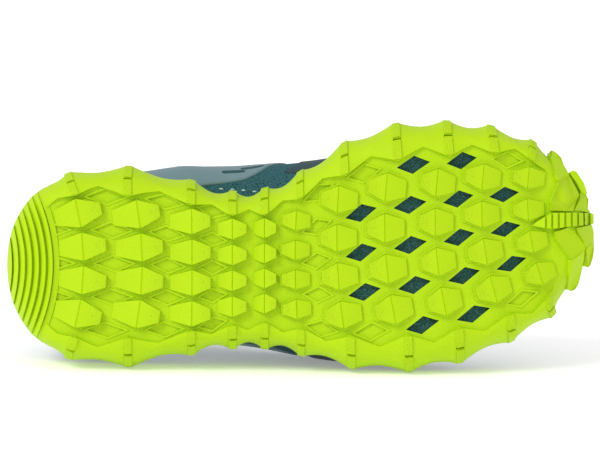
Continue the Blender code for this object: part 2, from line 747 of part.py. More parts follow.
def on_midsole(inset, above):
    """Points above the midsole's top, which runs straight from its edge to the spine."""
    edge = CUP_INSET + GAP
    reach = np.linalg.norm(SOLE.spine - SOLE.outline, axis=1)
    share = np.clip((inset - edge) / (reach - edge), 0, 1)
    ends = [with_height(plan, footbed)[:, 2] for plan in (SOLE.at(edge), SOLE.spine)]
    plan = SOLE.at(np.minimum(inset, reach))
    return np.column_stack([plan, ends[0] * (1 - share) + ends[1] * share + above])


def make_insole(parts):
    """The loose footbed, inside the upper's wall and with a raised rim at the heel and arch."""
    inset = CUP_INSET + WALL + 4 * GAP + WAIST_EASE
    reach = np.linalg.norm(SOLE.spine - SOLE.outline, axis=1)
    rim_share = np.clip((RIM_END - SOLE.outline[:, 0] / SOLE_LENGTH) / RIM_FADE, 0, 1)
    rings = [
        on_midsole(reach, GAP),
        on_midsole(inset + INSOLE_THICKNESS / 3, GAP),
        on_midsole(inset, GAP + INSOLE_THICKNESS / 3),
        on_midsole(inset, GAP + INSOLE_THICKNESS * (1 + RIM_RISE * rim_share)),
        on_midsole(inset + INSOLE_THICKNESS, GAP + INSOLE_THICKNESS),
        on_midsole(reach, GAP + INSOLE_THICKNESS),
    ]
    bm = bmesh.new()
    loft(bm, rings)
    insole = new_object("insole", mesh_from(bm, "insole"), parts)
    insole.data.materials.append(finish_of("lining"))


# Upper


def arch_share(x):
    """1 at the waist of the medial side and 0 where the upper's swell over it ends."""
    share = x / SOLE_LENGTH
    if not ARCH_START < share < ARCH_END:
        return 0.0
    span = (ARCH_PEAK - ARCH_START) if share < ARCH_PEAK else (ARCH_END - ARCH_PEAK)
    return math.cos(math.pi / 2 * (share - ARCH_PEAK) / span) ** 2


class Last:
    """The upper's outer surface: rays that run from the cup's edge up to the edge of the opening."""

    def __init__(self):
        steps = tuple(k / UPPER_PER_SPAN for k in range(UPPER_PER_SPAN))
        rows = [(*ray[:3], ray.high * HEIGHTS[ray.driver] / COLLAR_HEIGHT, *ray[5:]) for ray in RAYS]
        rays = hermite(rows, False, lambda i: steps)
        toe = SOLE.count // 2
        room = WAIST_EASE * np.array([arch_share(x) for x in SOLE.outline[:, 0]])
        foot = SOLE.at(CUP_INSET + GAP + room)
        axis = (foot + np.roll(foot[::-1], 1, axis=0))[: toe + 1] / 2
        sides = {1: np.arange(toe + 1), -1: -np.arange(toe + 1) % SOLE.count}
        self.rays = {
            side: self.handles(rays, foot[k], -SOLE.inward[k], axis, side) for side, k in sides.items()}
        self.along = rays[:, 0]
        self.skins = {}

    def handles(self, rays, foot, outward, axis, side):
        """The four control points of each ray on one side."""
        run = np.concatenate([[0], np.cumsum(np.linalg.norm(np.diff(foot, axis=0), axis=1))])
        run /= run[-1]
        made = []
        for along, top_x, half, high, low, swell, reach, drop in rays:
            start = np.array([np.interp(along, run, foot[:, 0]), np.interp(along, run, foot[:, 1])])
            out = np.array([np.interp(along, run, outward[:, 0]), np.interp(along, run, outward[:, 1])])
            out = np.append(out / np.linalg.norm(out), 0)
            low_end = np.append(start, lip_height(start[0]) + GAP)
            x = top_x * SOLE_LENGTH
            y = np.interp(x, axis[:, 0], axis[:, 1]) + side * half * OPENING_WIDTH / 2
            high_end = np.array([x, y, high * COLLAR_HEIGHT])
            rise = high_end[2] - low_end[2]
            up = np.array([0, 0, rise])
            arch = ARCH_SWELL * arch_share(start[0]) if side < 0 else 0.0
            made.append((low_end, low_end + up * low + out * (swell * rise + arch),
                         high_end - up * drop + out * (reach * rise + 0.5 * arch), high_end))
        return np.array(made)

    def foot(self, inside):
        """The ring that stands on the midsole within the cup's lip, or one that far inside it."""
        ring, outward = self.ring(0.0), self.normals(0.0)
        outward[:, 2] = 0
        plan = ring - outward / np.linalg.norm(outward, axis=1)[:, None] * inside
        plan[:, 2] = [footbed(x) + 2 * GAP for x in ring[:, 0]]
        return plan

    def ring(self, level):
        """A closed ring of the surface at a level from 0 at the cup's lip to 1 at the opening's edge."""
        lateral, medial = (self.line(side, level) for side in (1, -1))
        return np.concatenate([lateral, medial[-2:0:-1]])

    def line(self, side, level):
        a, b, c, d = (self.rays[side][:, k] for k in range(4))
        s, r = level, 1 - level
        return r**3 * a + 3 * r * r * s * b + 3 * r * s * s * c + s**3 * d

    def normals(self, level, step=0.02):
        """Outward normals of the ring at a level."""
        ring = self.ring(level)
        around = np.roll(ring, -1, axis=0) - np.roll(ring, 1, axis=0)
        low, high = max(level - step, 0.0), min(level + step, 1.0)
        up = self.ring(high) - self.ring(low)
        normal = np.cross(up, around)
        return normal / np.linalg.norm(normal, axis=1)[:, None]

    def shifted(self, level, distance):
        """The ring at a level, moved out from the surface by a distance or by one for each point."""
        return self.ring(level) + self.normals(level) * np.broadcast_to(distance, self.count)[:, None]

    @property
    def count(self):
        return 2 * len(self.along) - 2

    def shares(self):
        """How far along its side each point of a ring lies, from 0 at the heel to 1 at the toe."""
        return np.concatenate([self.along, self.along[-2:0:-1]])

    def index(self, side, along):
        """The ring's point nearest to a share of the way along one side."""
        nearest = int(np.abs(self.along - along).argmin())
        return nearest if side > 0 else -nearest % self.count

    def point(self, k, level, distance):
        """A point off the upper's skin at the ring's k-th ray, straight between the upper's own levels."""
        if distance not in self.skins:
            self.skins[distance] = np.array([self.shifted(step, distance) for step in UPPER_LEVELS])
        ray = self.skins[distance][:, k % self.count]
        return np.array([np.interp(level, UPPER_LEVELS, ray[:, axis]) for axis in range(3)])

    def length(self, k):
        """Length of the ring's k-th ray."""
        ray = [self.point(k, level, 0.0) for level in UPPER_LEVELS]
        return float(sum(np.linalg.norm(b - a) for a, b in zip(ray, ray[1:])))


LAST = Last()


def padding(level):
    """The wall's thickness round a ring: thicker where the collar is padded, thinner at its rolled edge."""
    round_collar = np.clip((PAD_END - LAST.shares()) / PAD_FADE, 0, 1)
    edge = np.clip((level - PAD_ROLL) / (1 - PAD_ROLL), 0, 1)
    full = ease(level, PAD_LOW, PAD_FULL) * (1 - PAD_THINNING * edge)
    return WALL + (COLLAR_PADDING - WALL) * round_collar * full


def make_upper(parts):
    rings = [LAST.foot(0.0), *(LAST.ring(level) for level in UPPER_LEVELS)]
    inner = [LAST.foot(WALL), *(LAST.shifted(level, -padding(level)) for level in UPPER_LEVELS)]
    crown = (rings[-1] + inner[-1]) / 2
    along = rings[-1] - rings[-2]
    crown += COLLAR_CROWN * padding(1.0)[:, None] * along / np.linalg.norm(along, axis=1)[:, None]
    bm = bmesh.new()
    loft(bm, [*rings, crown, *inner[::-1]], wrap=True)
    upper = new_object("upper", mesh_from(bm, "upper"), parts)
    upper.data.materials.append(finish_of("vamp_mesh"))
    return upper


# Overlays


def overlay(name, points, span, finish, parts):
    """A film over the upper, off it by the gap: span gives each ray's lower and upper level."""
    grids = []
    for distance in (FILM_GAP + OVERLAY, FILM_GAP):
        grid = []
        for k in points:
            low, high = span(k)
            levels = np.clip([low, *UPPER_LEVELS, high], low, high)
            grid.append([LAST.point(k, level, distance) for level in levels])
        grids.append(grid)
    made = new_object(name, slab(name, *grids), parts)
    made.data.materials.append(finish_of(finish))
    return made


def make_overlays(parts):
    shares = LAST.shares()
    toe = LAST.index(1, 1.0)
    cap = toe - LAST.index(1, TOE_CAP_START)
    overlay("toe_cap", range(toe - cap, toe + cap + 1),
            lambda k: (FOOT_LEVEL, CAP_LOW + CAP_CLIMB * ease(shares[k % LAST.count], TOE_CAP_START, 1.0)),
            "rand_film", parts)
    back = LAST.index(1, COUNTER_END)
    overlay("heel_counter", range(-back, back + 1),
            lambda k: (FOOT_LEVEL,
                       COUNTER_LOW + COUNTER_CLIMB * (1 - ease(shares[k % LAST.count], 0.0, COUNTER_END))),
            "rand_film", parts)
    stay = toe - LAST.index(1, STAY_START)
    made = [overlay("eyestay", range(toe - stay, toe + stay + 1),
                    lambda k: (1 - STAY_WIDTH / LAST.length(k), STAY_TOP), "panel_film", parts)]
    for side, name in ((1, "panel_lateral"), (-1, "panel_medial")):
        first, last = (LAST.index(1, along) for along in (PANEL_START, PANEL_END))
        rays = range(first, last + 1) if side > 0 else range(-last, -first + 1)
        overlay(name, rays, panel_span, "panel_film", parts)
    return made


def panel_span(k):
    """Levels of the midfoot panel: its lower edge climbs forwards from the sole to the eyestay."""
    along = LAST.shares()[k % LAST.count]
    top = 1 - (STAY_WIDTH + PANEL_MARGIN) / LAST.length(k)
    if along < STAY_START:
        top = min(top, PANEL_TOP)
    climb = ease(along, PANEL_CLIMB, PANEL_CLIMB_END)
    return FOOT_LEVEL + (top - PANEL_TIP - FOOT_LEVEL) * climb, top


# Tongue, laces and loop


def tongue_sections():
    """Pairs of outer and inner curves across the tongue, from under the vamp to its free end."""
    sections = []
    first, last = (LAST.index(1, along) for along in (TONGUE_TIP, TONGUE_TURN))
    for k in range(first, last - 1, -1):
        outer, inner = [], []
        for distance, curve in ((2 * GAP, outer), (2 * GAP + TONGUE_THICKNESS, inner)):
            sides = [[LAST.shifted(level, -padding(level) - distance)[ray] for level in TONGUE_LEVELS]
                     for ray in (k, -k % LAST.count)]
            middle = (LAST.ring(1.0)[k] + LAST.ring(1.0)[-k % LAST.count]) / 2
            middle[2] += TONGUE_CROWN - distance
            curve.extend([*sides[0], middle, *sides[1][::-1]])
        sections.append((outer, inner))
    last_outer, last_inner = (np.array(curve) for curve in sections[-1])
    middle = last_outer[len(last_outer) // 2]
    for share, narrow in TONGUE_END:
        shift = np.array(TONGUE_LEAN) * TONGUE_RISE * share
        scale = np.array([narrow, narrow, narrow])
        pair = ((curve - middle) * scale + middle + shift for curve in (last_outer, last_inner))
        sections.append(tuple(pair))
    return sections


def make_tongue(parts):
    outer, inner = zip(*tongue_sections())
    tongue = new_object("tongue", slab("tongue", outer, inner), parts)
    tongue.data.materials.append(finish_of("lining"))
    return tongue


def eyelets():
    """For each pair, its two eyelets as (ray, level)."""
    pairs = []
    for along in np.linspace(EYELET_START, EYELET_END, EYELET_PAIRS):
        ends = [LAST.index(side, along) for side in (1, -1)]
        pairs.append([(k, 1 - EYELET_INSET / LAST.length(k)) for k in ends])
    return pairs


def lace_run(bm, start, end, lift):
    """A round cord between two eyelets, over the edges of the throat and its middle."""
    clear = FILM_GAP + OVERLAY + GAP + LACE_DIAMETER / 2
    rims = [LAST.point(k, 1.0, clear) for k, _ in (start, end)]
    middle = sum(rims) / 2 + np.array([0, 0, lift])
    path = hermite([LAST.point(*start, clear), rims[0], middle, rims[1], LAST.point(*end, clear)],
                   False, lambda i: (0.0,))
    sections = []
    for number, point in enumerate(path):
        ahead = path[min(number + 1, len(path) - 1)] - path[max(number - 1, 0)]
        ahead /= np.linalg.norm(ahead)
        across = np.cross(ahead, (0, 0, 1))
        across /= np.linalg.norm(across)
        up = np.cross(across, ahead)
        turns = np.arange(LACE_SIDES) * 2 * math.pi / LACE_SIDES
        spokes = [math.cos(a) * across + math.sin(a) * up for a in turns]
        sections.append([point + LACE_DIAMETER / 2 * spoke for spoke in spokes])
    rings = loft(bm, sections)
    bm.faces.new(rings[0][::-1])
    bm.faces.new(rings[-1])


def make_laces(parts, cutters):
    pairs = eyelets()
    bm = bmesh.new()
    lace_run(bm, pairs[-1][0], pairs[-1][1], LACE_LIFT)
    laces = new_object("laces", mesh_from(bm, "laces"), parts)
    for number, (low, high) in enumerate(zip(pairs, pairs[1:])):
        for side in (0, 1):
            bm = bmesh.new()
            lace_run(bm, low[side], high[1 - side], LACE_LIFT)
            name = f"lace_run_{number}_{side}"
            run = new_object(name, mesh_from(bm, name), cutters)
            cut_or_join(laces, "UNION", run)
            hide_helper(run)
    laces.data.materials.append(finish_of("lace_cord"))
    return laces


def cut_eyelets(targets, cutters):
    """Round holes through the eyestay and the upper's wall at every eyelet."""
    bm = bmesh.new()
    for pair in eyelets():
        for k, level in pair:
            low, high = (LAST.point(k, level, distance) for distance in (-3 * WALL, 3 * WALL))
            turn = Vector(high - low).to_track_quat("Z", "Y").to_matrix().to_4x4()
            place = Matrix.Translation(Vector((low + high) / 2)) @ turn
            bmesh.ops.create_cone(bm, cap_ends=True, segments=EYELET_SIDES, radius1=EYELET_DIAMETER / 2,
                                  radius2=EYELET_DIAMETER / 2, depth=6 * WALL, matrix=place)
    holes = new_object("eyelet_holes", mesh_from(bm, "eyelet_holes"), cutters)
    hide_helper(holes)
    for target in targets:
        cut_or_join(target, "DIFFERENCE", holes)


def make_pull_loop(parts):
    """A webbing band that stands off the heel as a closed loop for a finger."""
    levels = np.linspace(LOOP_LOW, LOOP_HIGH, 5)
    near = [LAST.point(0, level, GAP + LOOP_THICKNESS / 2) for level in levels]
    bulge = [GAP + LOOP_PINCH * LOOP_THICKNESS + LOOP_DEPTH * math.sin(math.pi * share) ** LOOP_FULLNESS
             for share in np.linspace(LOOP_END, 1 - LOOP_END, 5)]
    far = [LAST.point(0, level, distance) for level, distance in zip(levels, bulge)]
    path = hermite(near + far[::-1], True, lambda i: (0.0, 0.5))
    sections = []
    for number, point in enumerate(path):
        ahead = path[(number + 1) % len(path)] - path[number - 1]
        across = np.cross(ahead / np.linalg.norm(ahead), (0, 1, 0)) * LOOP_THICKNESS / 2
        half = np.array([0, LOOP_WIDTH / 2, 0])
        sections.append([point + across + half, point - across + half,
                         point - across - half, point + across - half])
    bm = bmesh.new()
    loft(bm, sections, wrap=True)
    loop = new_object("pull_loop", mesh_from(bm, "pull_loop"), parts)
    loop.data.materials.append(finish_of("rand_film"))
    return loop


# Lying pose


def lying_pose(parts):
    """The turn that lays the shoe on its lateral side, on the face of its hull under its middle."""
    shapes = [part.data for part in parts.objects]
    shapes += [step.object.data for part in parts.objects for step in part.modifiers
               if step.operation == "UNION"]
    points = np.array([v.co for shape in shapes for v in shape.vertices])
    bm = bmesh.new()
    for point in points:
        bm.verts.new(point)
    hull = bmesh.ops.convex_hull(bm, input=bm.verts)
    bmesh.ops.recalc_face_normals(bm, faces=bm.faces)
    middle = Vector(points.min(0) + points.max(0)) / 2
    middle.z = LYING_STACK_SHARE * HEEL_STACK + LYING_COLLAR_SHARE * COLLAR_HEIGHT
    best = None
    for face in hull["geom"]:
        if not isinstance(face, bmesh.types.BMFace) or face.normal.y < SIDE_FACING:
            continue
        foot = middle + face.normal * (face.verts[0].co - middle).dot(face.normal)
        if bmesh.geometry.intersect_face_point(face, foot):
            best = face.normal.copy()
            break
    down = best if best is not None else Vector((0, 1, 0))
    bm.free()
    up = -down
    ahead = (Vector((1, 0, 0)) - up * up.x).normalized()
    turn = Matrix((ahead, up.cross(ahead), up))
    laid = points @ np.array(turn).T
    low, high = laid.min(0), laid.max(0)
    shift = Vector((-(low[0] + high[0]) / 2, -(low[1] + high[1]) / 2, -low[2]))
    return Matrix.Translation(shift) @ turn.to_4x4()


def main():
    for old in list(bpy.data.objects):
        bpy.data.objects.remove(old)
    parts = bpy.data.collections.new("trail_running_shoe")
    cutters = bpy.data.collections.new("cutters")
    for collection in (parts, cutters):
        bpy.context.scene.collection.children.link(collection)
    make_outsole(parts, cutters)
    make_midsole(parts)
    make_insole(parts)
    upper = make_upper(parts)
    eyestay = make_overlays(parts)[0]
    make_tongue(parts)
    make_laces(parts, cutters)
    make_pull_loop(parts)
    cut_eyelets((upper, eyestay), cutters)
    pose = lying_pose(parts)
    for piece in (*parts.objects, *cutters.objects):
        piece.data.transform(pose)


main()
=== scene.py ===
# %% [markdown]
# # A left trail running shoe, lying on its outer side
# The photograph looks straight at a lime rubber sole, with the heel at the left and the toe at the
# right. Only a strip of the upper shows above the waist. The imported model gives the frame, and this
# lesson dresses it: a finely moulded outsole first, then the upper and what is sewn or bonded to it.

# %% Frame
import math
from collections import namedtuple

import bmesh
import bpy
import numpy as np
from mathutils import Matrix, Vector, noise

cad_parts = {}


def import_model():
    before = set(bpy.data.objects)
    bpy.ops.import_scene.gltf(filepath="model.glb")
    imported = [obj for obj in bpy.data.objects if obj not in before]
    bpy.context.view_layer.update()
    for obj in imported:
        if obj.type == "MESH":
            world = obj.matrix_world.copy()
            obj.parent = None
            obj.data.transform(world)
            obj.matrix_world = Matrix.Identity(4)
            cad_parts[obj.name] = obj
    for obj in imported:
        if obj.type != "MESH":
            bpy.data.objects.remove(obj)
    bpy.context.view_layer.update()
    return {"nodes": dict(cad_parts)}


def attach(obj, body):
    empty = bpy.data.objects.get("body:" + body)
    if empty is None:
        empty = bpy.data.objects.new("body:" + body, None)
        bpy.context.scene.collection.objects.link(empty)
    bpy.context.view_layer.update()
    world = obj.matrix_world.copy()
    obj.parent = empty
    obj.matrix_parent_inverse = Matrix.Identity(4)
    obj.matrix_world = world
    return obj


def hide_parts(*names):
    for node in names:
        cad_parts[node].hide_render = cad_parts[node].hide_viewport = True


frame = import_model()

# %% [markdown]
# A shoe is drawn standing, with x from heel to toe, y towards the outer side and z up. The model
# lies, so each finished mesh is turned into the lying pose at the end: the row of the turn that
# holds the lying shoe's "up" is all that has to be known, and the rest follows from it.

# %% Lying pose
LYING_UP = Vector((0.017514, -0.989663, -0.142341)).normalized()
LYING_SHIFT = Vector((-0.144878, -0.050619, 0.052167))
ahead = (Vector((1, 0, 0)) - LYING_UP * LYING_UP.x).normalized()
LAY_DOWN = Matrix.Translation(LYING_SHIFT) @ Matrix((ahead, LYING_UP.cross(ahead), LYING_UP)).to_4x4()


def world(point):
    """Where a point of the standing shoe lies in the model's frame."""
    return LAY_DOWN @ Vector(point)


print("sole faces", [round(c, 3) for c in (LAY_DOWN.to_3x3() @ Vector((0, 0, -1)))])

# %% [markdown]
# The camera stands square to the sole, as in the photograph, far off with a long lens. The picture
# spans 600 pixels of 0.4915 mm at the sole, and its middle is 145 mm from the heel.

# %% Camera
PIXEL = 0.0004915
VIEW_MIDDLE = (0.1450, -0.0192, 0.010)
LENS = 250.0
view_axis = LAY_DOWN.to_3x3() @ Vector((0, 0, -1))
view_up = LAY_DOWN.to_3x3() @ Vector((0, -1, 0))
distance = 600 * PIXEL * LENS / 36.0
camera_data = bpy.data.cameras.new("camera")
camera_data.lens = LENS
camera_data.clip_end = 50.0
camera = bpy.data.objects.new("camera", camera_data)
bpy.context.scene.collection.objects.link(camera)
across = view_up.cross(view_axis).normalized()
turn = Matrix((across, view_up, view_axis)).transposed()
camera.matrix_world = Matrix.Translation(world(VIEW_MIDDLE) + view_axis * distance) @ turn.to_4x4()
bpy.context.scene.camera = camera
print("camera", [round(c, 3) for c in camera.location], "distance", round(distance, 3))

# %% [markdown]
# Every form of the shoe comes from the same few named sizes as the solids: widths at heel, waist
# and ball, heights of lugs and edge, and one table row for each cross row of lugs.

# %% Sizes of the sole
SOLE_LENGTH, BALL_WIDTH, WAIST_WIDTH, HEEL_WIDTH = 0.290, 0.1232, 0.0785, 0.0996
LUG_HEIGHT, FLOOR_THICKNESS, WIDEST_HEIGHT = 0.0040, 0.0032, 0.0150
TOE_SPRING, HEEL_BEVEL, SCALLOP_DEPTH, CLAW_RELIEF = 0.0160, 0.0060, 0.0033, 0.0026
LIP_INSET, CUP_INSET, CUP_FLOOR_INSET, LIP_RISE = 0.0018, 0.0062, 0.0130, 0.0055
HEEL_STACK, BALL_STACK, WAIST_LIFT, GAP = 0.0260, 0.0180, 0.0010, 0.0003
ROWS, LUG_GAP = 4, 0.0011
WIDTHS = {"heel": HEEL_WIDTH, "waist": WAIST_WIDTH, "ball": BALL_WIDTH}
Column = namedtuple("Column", "along driver width centre skew bow edge back front")
TREAD = (
    Column(0.105, "heel", 0.926, 0.008, 0.000, 0.031, 0.141, 0.0415, 0.039),
    Column(0.209, "heel", 1.000, 0.010, 0.000, 0.026, 0.161, 0.0455, 0.0355),
    Column(0.3165, "heel", 0.871, 0.014, 0.000, 0.002, 0.152, 0.038, 0.031),
    Column(0.386, "waist", 1.000, 0.024, 0.000, 0.000, 0.166, 0.025, 0.024),
    Column(0.440, "waist", 1.020, 0.018, 0.000, 0.000, 0.181, 0.0186, 0.020),
    Column(0.501, "ball", 0.744, -0.002, 0.002, -0.009, 0.161, 0.025, 0.026),
    Column(0.581, "ball", 0.912, -0.034, 0.0134, -0.018, 0.158, 0.030, 0.0355),
    Column(0.674, "ball", 1.000, -0.066, 0.0237, -0.030, 0.162, 0.032, 0.0355),
    Column(0.761, "ball", 0.976, -0.089, 0.0237, -0.032, 0.158, 0.029, 0.033),
    Column(0.843, "ball", 0.8725, -0.122, 0.0355, -0.034, 0.141, 0.032, 0.032),
    Column(0.9155, "ball", 0.7085, -0.143, 0.0355, -0.028, 0.124, 0.027, 0.030),
)
BRAKING_COLUMNS, RAMP_END, STEEP_END, RAMP_DROP = 5, 0.235, 0.185, 0.30
End = namedtuple("End", "along driver width centre reach")
HEEL_ENDS = (End(0.0128, "heel", 0.414, 0.004, 0.150), End(0.043, "heel", 0.685, 0.006, 0.145))
TOE_ENDS = (End(0.957, "ball", 0.520, -0.126, 0.170), End(0.987, "ball", 0.300, -0.119, 0.180))
HEEL_TIP_CENTRE, TOE_TIP_CENTRE = 0.002, -0.119
SPINE_START, SPINE_END, HEEL_TIP_REACH, TOE_TIP_REACH = 0.17, 0.87, 0.150, 0.190
LATTICE = ((-0.0015, 0.99), (-0.0014, 0.966), (-0.0002, 0.997), (-0.0013, 0.966), (-0.0015, 0.963), (0.0004, 0.93),
           (0.0006, 0.98), (0.0003, 0.957), (0.0, 0.942), (-0.0003, 0.948), (-0.0014, 0.957))
WINDOWS = {7: (1, 2, 3), 8: (0, 1, 2, 3, 4), 9: (0, 1, 2, 3, 4), 10: (1, 2, 3)}
DIAMOND_LENGTH, DIAMOND_WIDTH = 0.61, 0.43
EDGE_STEPS = 12
print("tread", len(TREAD), "cross rows of", ROWS, "lugs and two edge lugs")

# %% [markdown]
# The outline is one smooth closed curve through the rib tips. A curve through points keeps even
# speed when each tangent is weighted by the chords beside it, which a hand-drawn Bezier does by eye.


# %% Outline and heights of the sole
def hermite(points, closed, steps):
    """Samples a smooth curve through the points at the same steps in every span."""
    p = np.asarray(points, float)
    n = len(p)
    after = np.roll(p, -1, axis=0) if closed else np.vstack([p[1:], p[-1:]])
    before = np.roll(p, 1, axis=0) if closed else np.vstack([p[:1], p[:-1]])
    chord = np.linalg.norm(after - p, axis=1)
    behind = np.roll(chord, 1)
    tangent = np.zeros_like(p)
    for i in range(n):
        if not closed and i == 0:
            tangent[i] = (after[i] - p[i]) / chord[i]
        elif not closed and i == n - 1:
            tangent[i] = (p[i] - before[i]) / behind[i]
        else:
            slope_in, slope_out = (p[i] - before[i]) / behind[i], (after[i] - p[i]) / chord[i]
            tangent[i] = (slope_in * chord[i] + slope_out * behind[i]) / (behind[i] + chord[i])
    made = []
    for i in range(n if closed else n - 1):
        j = (i + 1) % n
        for u in steps:
            a, b, c = 2 * u**3 - 3 * u**2 + 1, u**3 - 2 * u**2 + u, u**3 - u**2
            made.append(a * p[i] + b * chord[i] * tangent[i] + (1 - a) * p[j] + c * chord[i] * tangent[j])
    return np.array(made if closed else made + [p[-1]])


def tip(row, side):
    x = (row.along + side * getattr(row, "skew", 0.0) / 2) * SOLE_LENGTH
    return (x, row.centre * BALL_WIDTH + side * row.width * WIDTHS[row.driver] / 2)


def edge_reach(row):
    return row.reach * HEEL_WIDTH if isinstance(row, End) else row.edge * row.width * WIDTHS[row.driver]


def column_point(row, across):
    x = (row.along + row.skew * across / 2 + row.bow * (1 - across**2)) * SOLE_LENGTH
    return np.array([x, row.centre * BALL_WIDTH + across * row.width * WIDTHS[row.driver] / 2])


def junction(row, j):
    """The j-th corner between the lugs of a cross row, from the inner side."""
    shift, share = LATTICE[TREAD.index(row)]
    return column_point(row, share * (1 - 2 * row.edge) * (2 * j / ROWS - 1)) + (0, shift)


def spring(x):
    share = np.asarray(x) / SOLE_LENGTH
    toe = np.maximum(0.0, (share - 0.64) / 0.36)
    heel = np.maximum(0.0, (0.13 - share) / 0.13)
    waist = np.maximum(0.0, 1 - ((share - 0.44) / 0.11) ** 2) ** 2
    return TOE_SPRING * toe**2.1 + HEEL_BEVEL * heel**2 + WAIST_LIFT * waist


def floor_under(x):
    return LUG_HEIGHT + spring(x)


def footbed(x):
    share = np.clip((np.asarray(x) / SOLE_LENGTH - 0.22) / 0.40, 0.0, 1.0)
    return HEEL_STACK + (BALL_STACK - HEEL_STACK) * share * share * (3 - 2 * share) + 0.85 * spring(x)


SIDE_ROWS = (*HEEL_ENDS, *TREAD, *TOE_ENDS)
EDGE_SPANS = len(SIDE_ROWS) + 1
controls = [(0.0, HEEL_TIP_CENTRE * BALL_WIDTH), *[tip(row, 1) for row in SIDE_ROWS],
            (SOLE_LENGTH, TOE_TIP_CENTRE * BALL_WIDTH), *[tip(row, -1) for row in reversed(SIDE_ROWS)]]
OUTLINE = hermite(controls, True, np.arange(EDGE_STEPS) / EDGE_STEPS)
COUNT = len(OUTLINE)
PLACE = np.minimum(np.arange(COUNT), COUNT - np.arange(COUNT)) / EDGE_STEPS  # spans from the heel tip
REACH = np.interp(PLACE, range(EDGE_SPANS + 1),
                  [HEEL_TIP_REACH * HEEL_WIDTH, *map(edge_reach, SIDE_ROWS), TOE_TIP_REACH * HEEL_WIDTH])
FIRST_RIB, LAST_RIB = len(HEEL_ENDS) + 1, len(HEEL_ENDS) + len(TREAD)
nearest_rib = np.clip(np.round(PLACE), FIRST_RIB, LAST_RIB)
RIB_SHARE = np.clip(1 - 2 * np.abs(PLACE - nearest_rib), 0, 1)  # 1 on a rib, 0 half way to the next
rounded = np.clip(1.06 - np.hypot(2 * (PLACE - nearest_rib), 0.09), 0, 0.97) / 0.97
depth = np.interp(PLACE, [0, FIRST_RIB - 1, FIRST_RIB - 0.5, FIRST_RIB, LAST_RIB, LAST_RIB + 0.5, EDGE_SPANS],
                  [0, 0, 0.4, 1, 1, 0.9, CLAW_RELIEF / SCALLOP_DEPTH]) * SCALLOP_DEPTH
SCALLOP = depth * (1 - rounded**2.0)
middle = (OUTLINE + OUTLINE[-np.arange(COUNT)]) / 2
order = np.argsort(middle[: COUNT // 2 + 1, 0])
spine_x = np.clip(middle[:, 0], SPINE_START * SOLE_LENGTH, SPINE_END * SOLE_LENGTH)
SPINE = np.column_stack([spine_x, np.interp(spine_x, middle[order, 0], middle[order, 1])])
INWARD = (SPINE - OUTLINE) / np.linalg.norm(SPINE - OUTLINE, axis=1)[:, None]


def at(inset):
    """Plan points this far inside the smooth outline, towards the spine."""
    return OUTLINE + INWARD * np.broadcast_to(inset, COUNT)[:, None]


def edge_distance(x, y):
    along = np.roll(OUTLINE, -1, axis=0) - OUTLINE
    share = np.clip(((np.array([x, y]) - OUTLINE) * along).sum(1) / (along**2).sum(1), 0, 1)
    return float(np.linalg.norm(OUTLINE + along * share[:, None] - (x, y), axis=1).min())


print("outline", COUNT, "points", np.round(np.ptp(OUTLINE, axis=0) * 1000, 1), "mm")

# %% [markdown]
# The cup is lofted: rings run from the middle of the underside, up the rounded edge with its
# hollows, over the lip and down to the cup's floor. Near the outline the underside is a quarter of
# an ellipse. The edge lugs stand down from it, most on each rib, and their inner edge zigzags.

# %% Cup of the outsole
LIP_SCALLOP, EDGE_RINGS, BOTTOM_RINGS = 0.70, 11, 5
ZIGZAG_SHARE, VALLEY_LUG_SHARE = 0.28, 0.42
COLLECTION = bpy.context.scene.collection


def with_height(plan, height):
    return np.column_stack([plan, height(plan[:, 0])])


def cup_floor(x):
    return floor_under(x) + FLOOR_THICKNESS


def edge_ring(share):
    """The ring at a share of the edge's reach: 1 where the underside starts to rise, 0 at the widest line."""
    rise = 1 - math.sqrt(max(0.0, 1 - (1 - share) ** 2))
    hollow = min(1.0, (max(0.0, 0.96 - share) / 0.88) ** 1.3)
    zigzag = ZIGZAG_SHARE * REACH * (1 - RIB_SHARE)
    points = with_height(at(share * (REACH - zigzag) + hollow * SCALLOP), floor_under)
    relief = LUG_HEIGHT * (VALLEY_LUG_SHARE + (1 - VALLEY_LUG_SHARE) * RIB_SHARE**1.4)
    relief *= np.clip((PLACE - FIRST_RIB + 1.2) / 0.7, 0, 1) * np.clip((LAST_RIB + 0.8 - PLACE) / 0.6, 0, 1)
    points[:, 2] += rise * WIDEST_HEIGHT - (1 - rise) ** 1.5 * relief * (share < 0.97)
    return points


def underside_ring(share):
    """Rings of the plain underside between the edge lugs and the spine."""
    reach = np.linalg.norm(SPINE - OUTLINE, axis=1)
    start = REACH - ZIGZAG_SHARE * REACH * (1 - RIB_SHARE)
    return with_height(at(start + share * (reach - start)), floor_under)


def loft(bm, rings, wrap=False, closed=True):
    """Rings of points joined into faces; a ring of equal points becomes a fan."""
    made = [[bm.verts.new(p) for p in ring] for ring in rings]
    pairs = list(zip(made, made[1:])) + ([(made[-1], made[0])] if wrap else [])
    for low, high in pairs:
        for i in range(len(low) if closed else len(low) - 1):
            j = (i + 1) % len(low)
            bm.faces.new((low[i], low[j], high[j], high[i]))
    return made


def lay_down(piece):
    """Turns a piece into the lying pose; what would dip under the floor is pressed flat on it."""
    piece.data.transform(LAY_DOWN)
    for v in piece.data.vertices:
        v.co.z = max(v.co.z, 0.0)


def mesh_of(bm, name, merge=1e-6):
    bmesh.ops.remove_doubles(bm, verts=bm.verts, dist=merge)
    bmesh.ops.dissolve_degenerate(bm, dist=merge, edges=bm.edges)
    bmesh.ops.recalc_face_normals(bm, faces=bm.faces)
    mesh = bpy.data.meshes.new(name)
    bm.to_mesh(mesh)
    bm.free()
    made = bpy.data.objects.new(name, mesh)
    COLLECTION.objects.link(made)
    return made


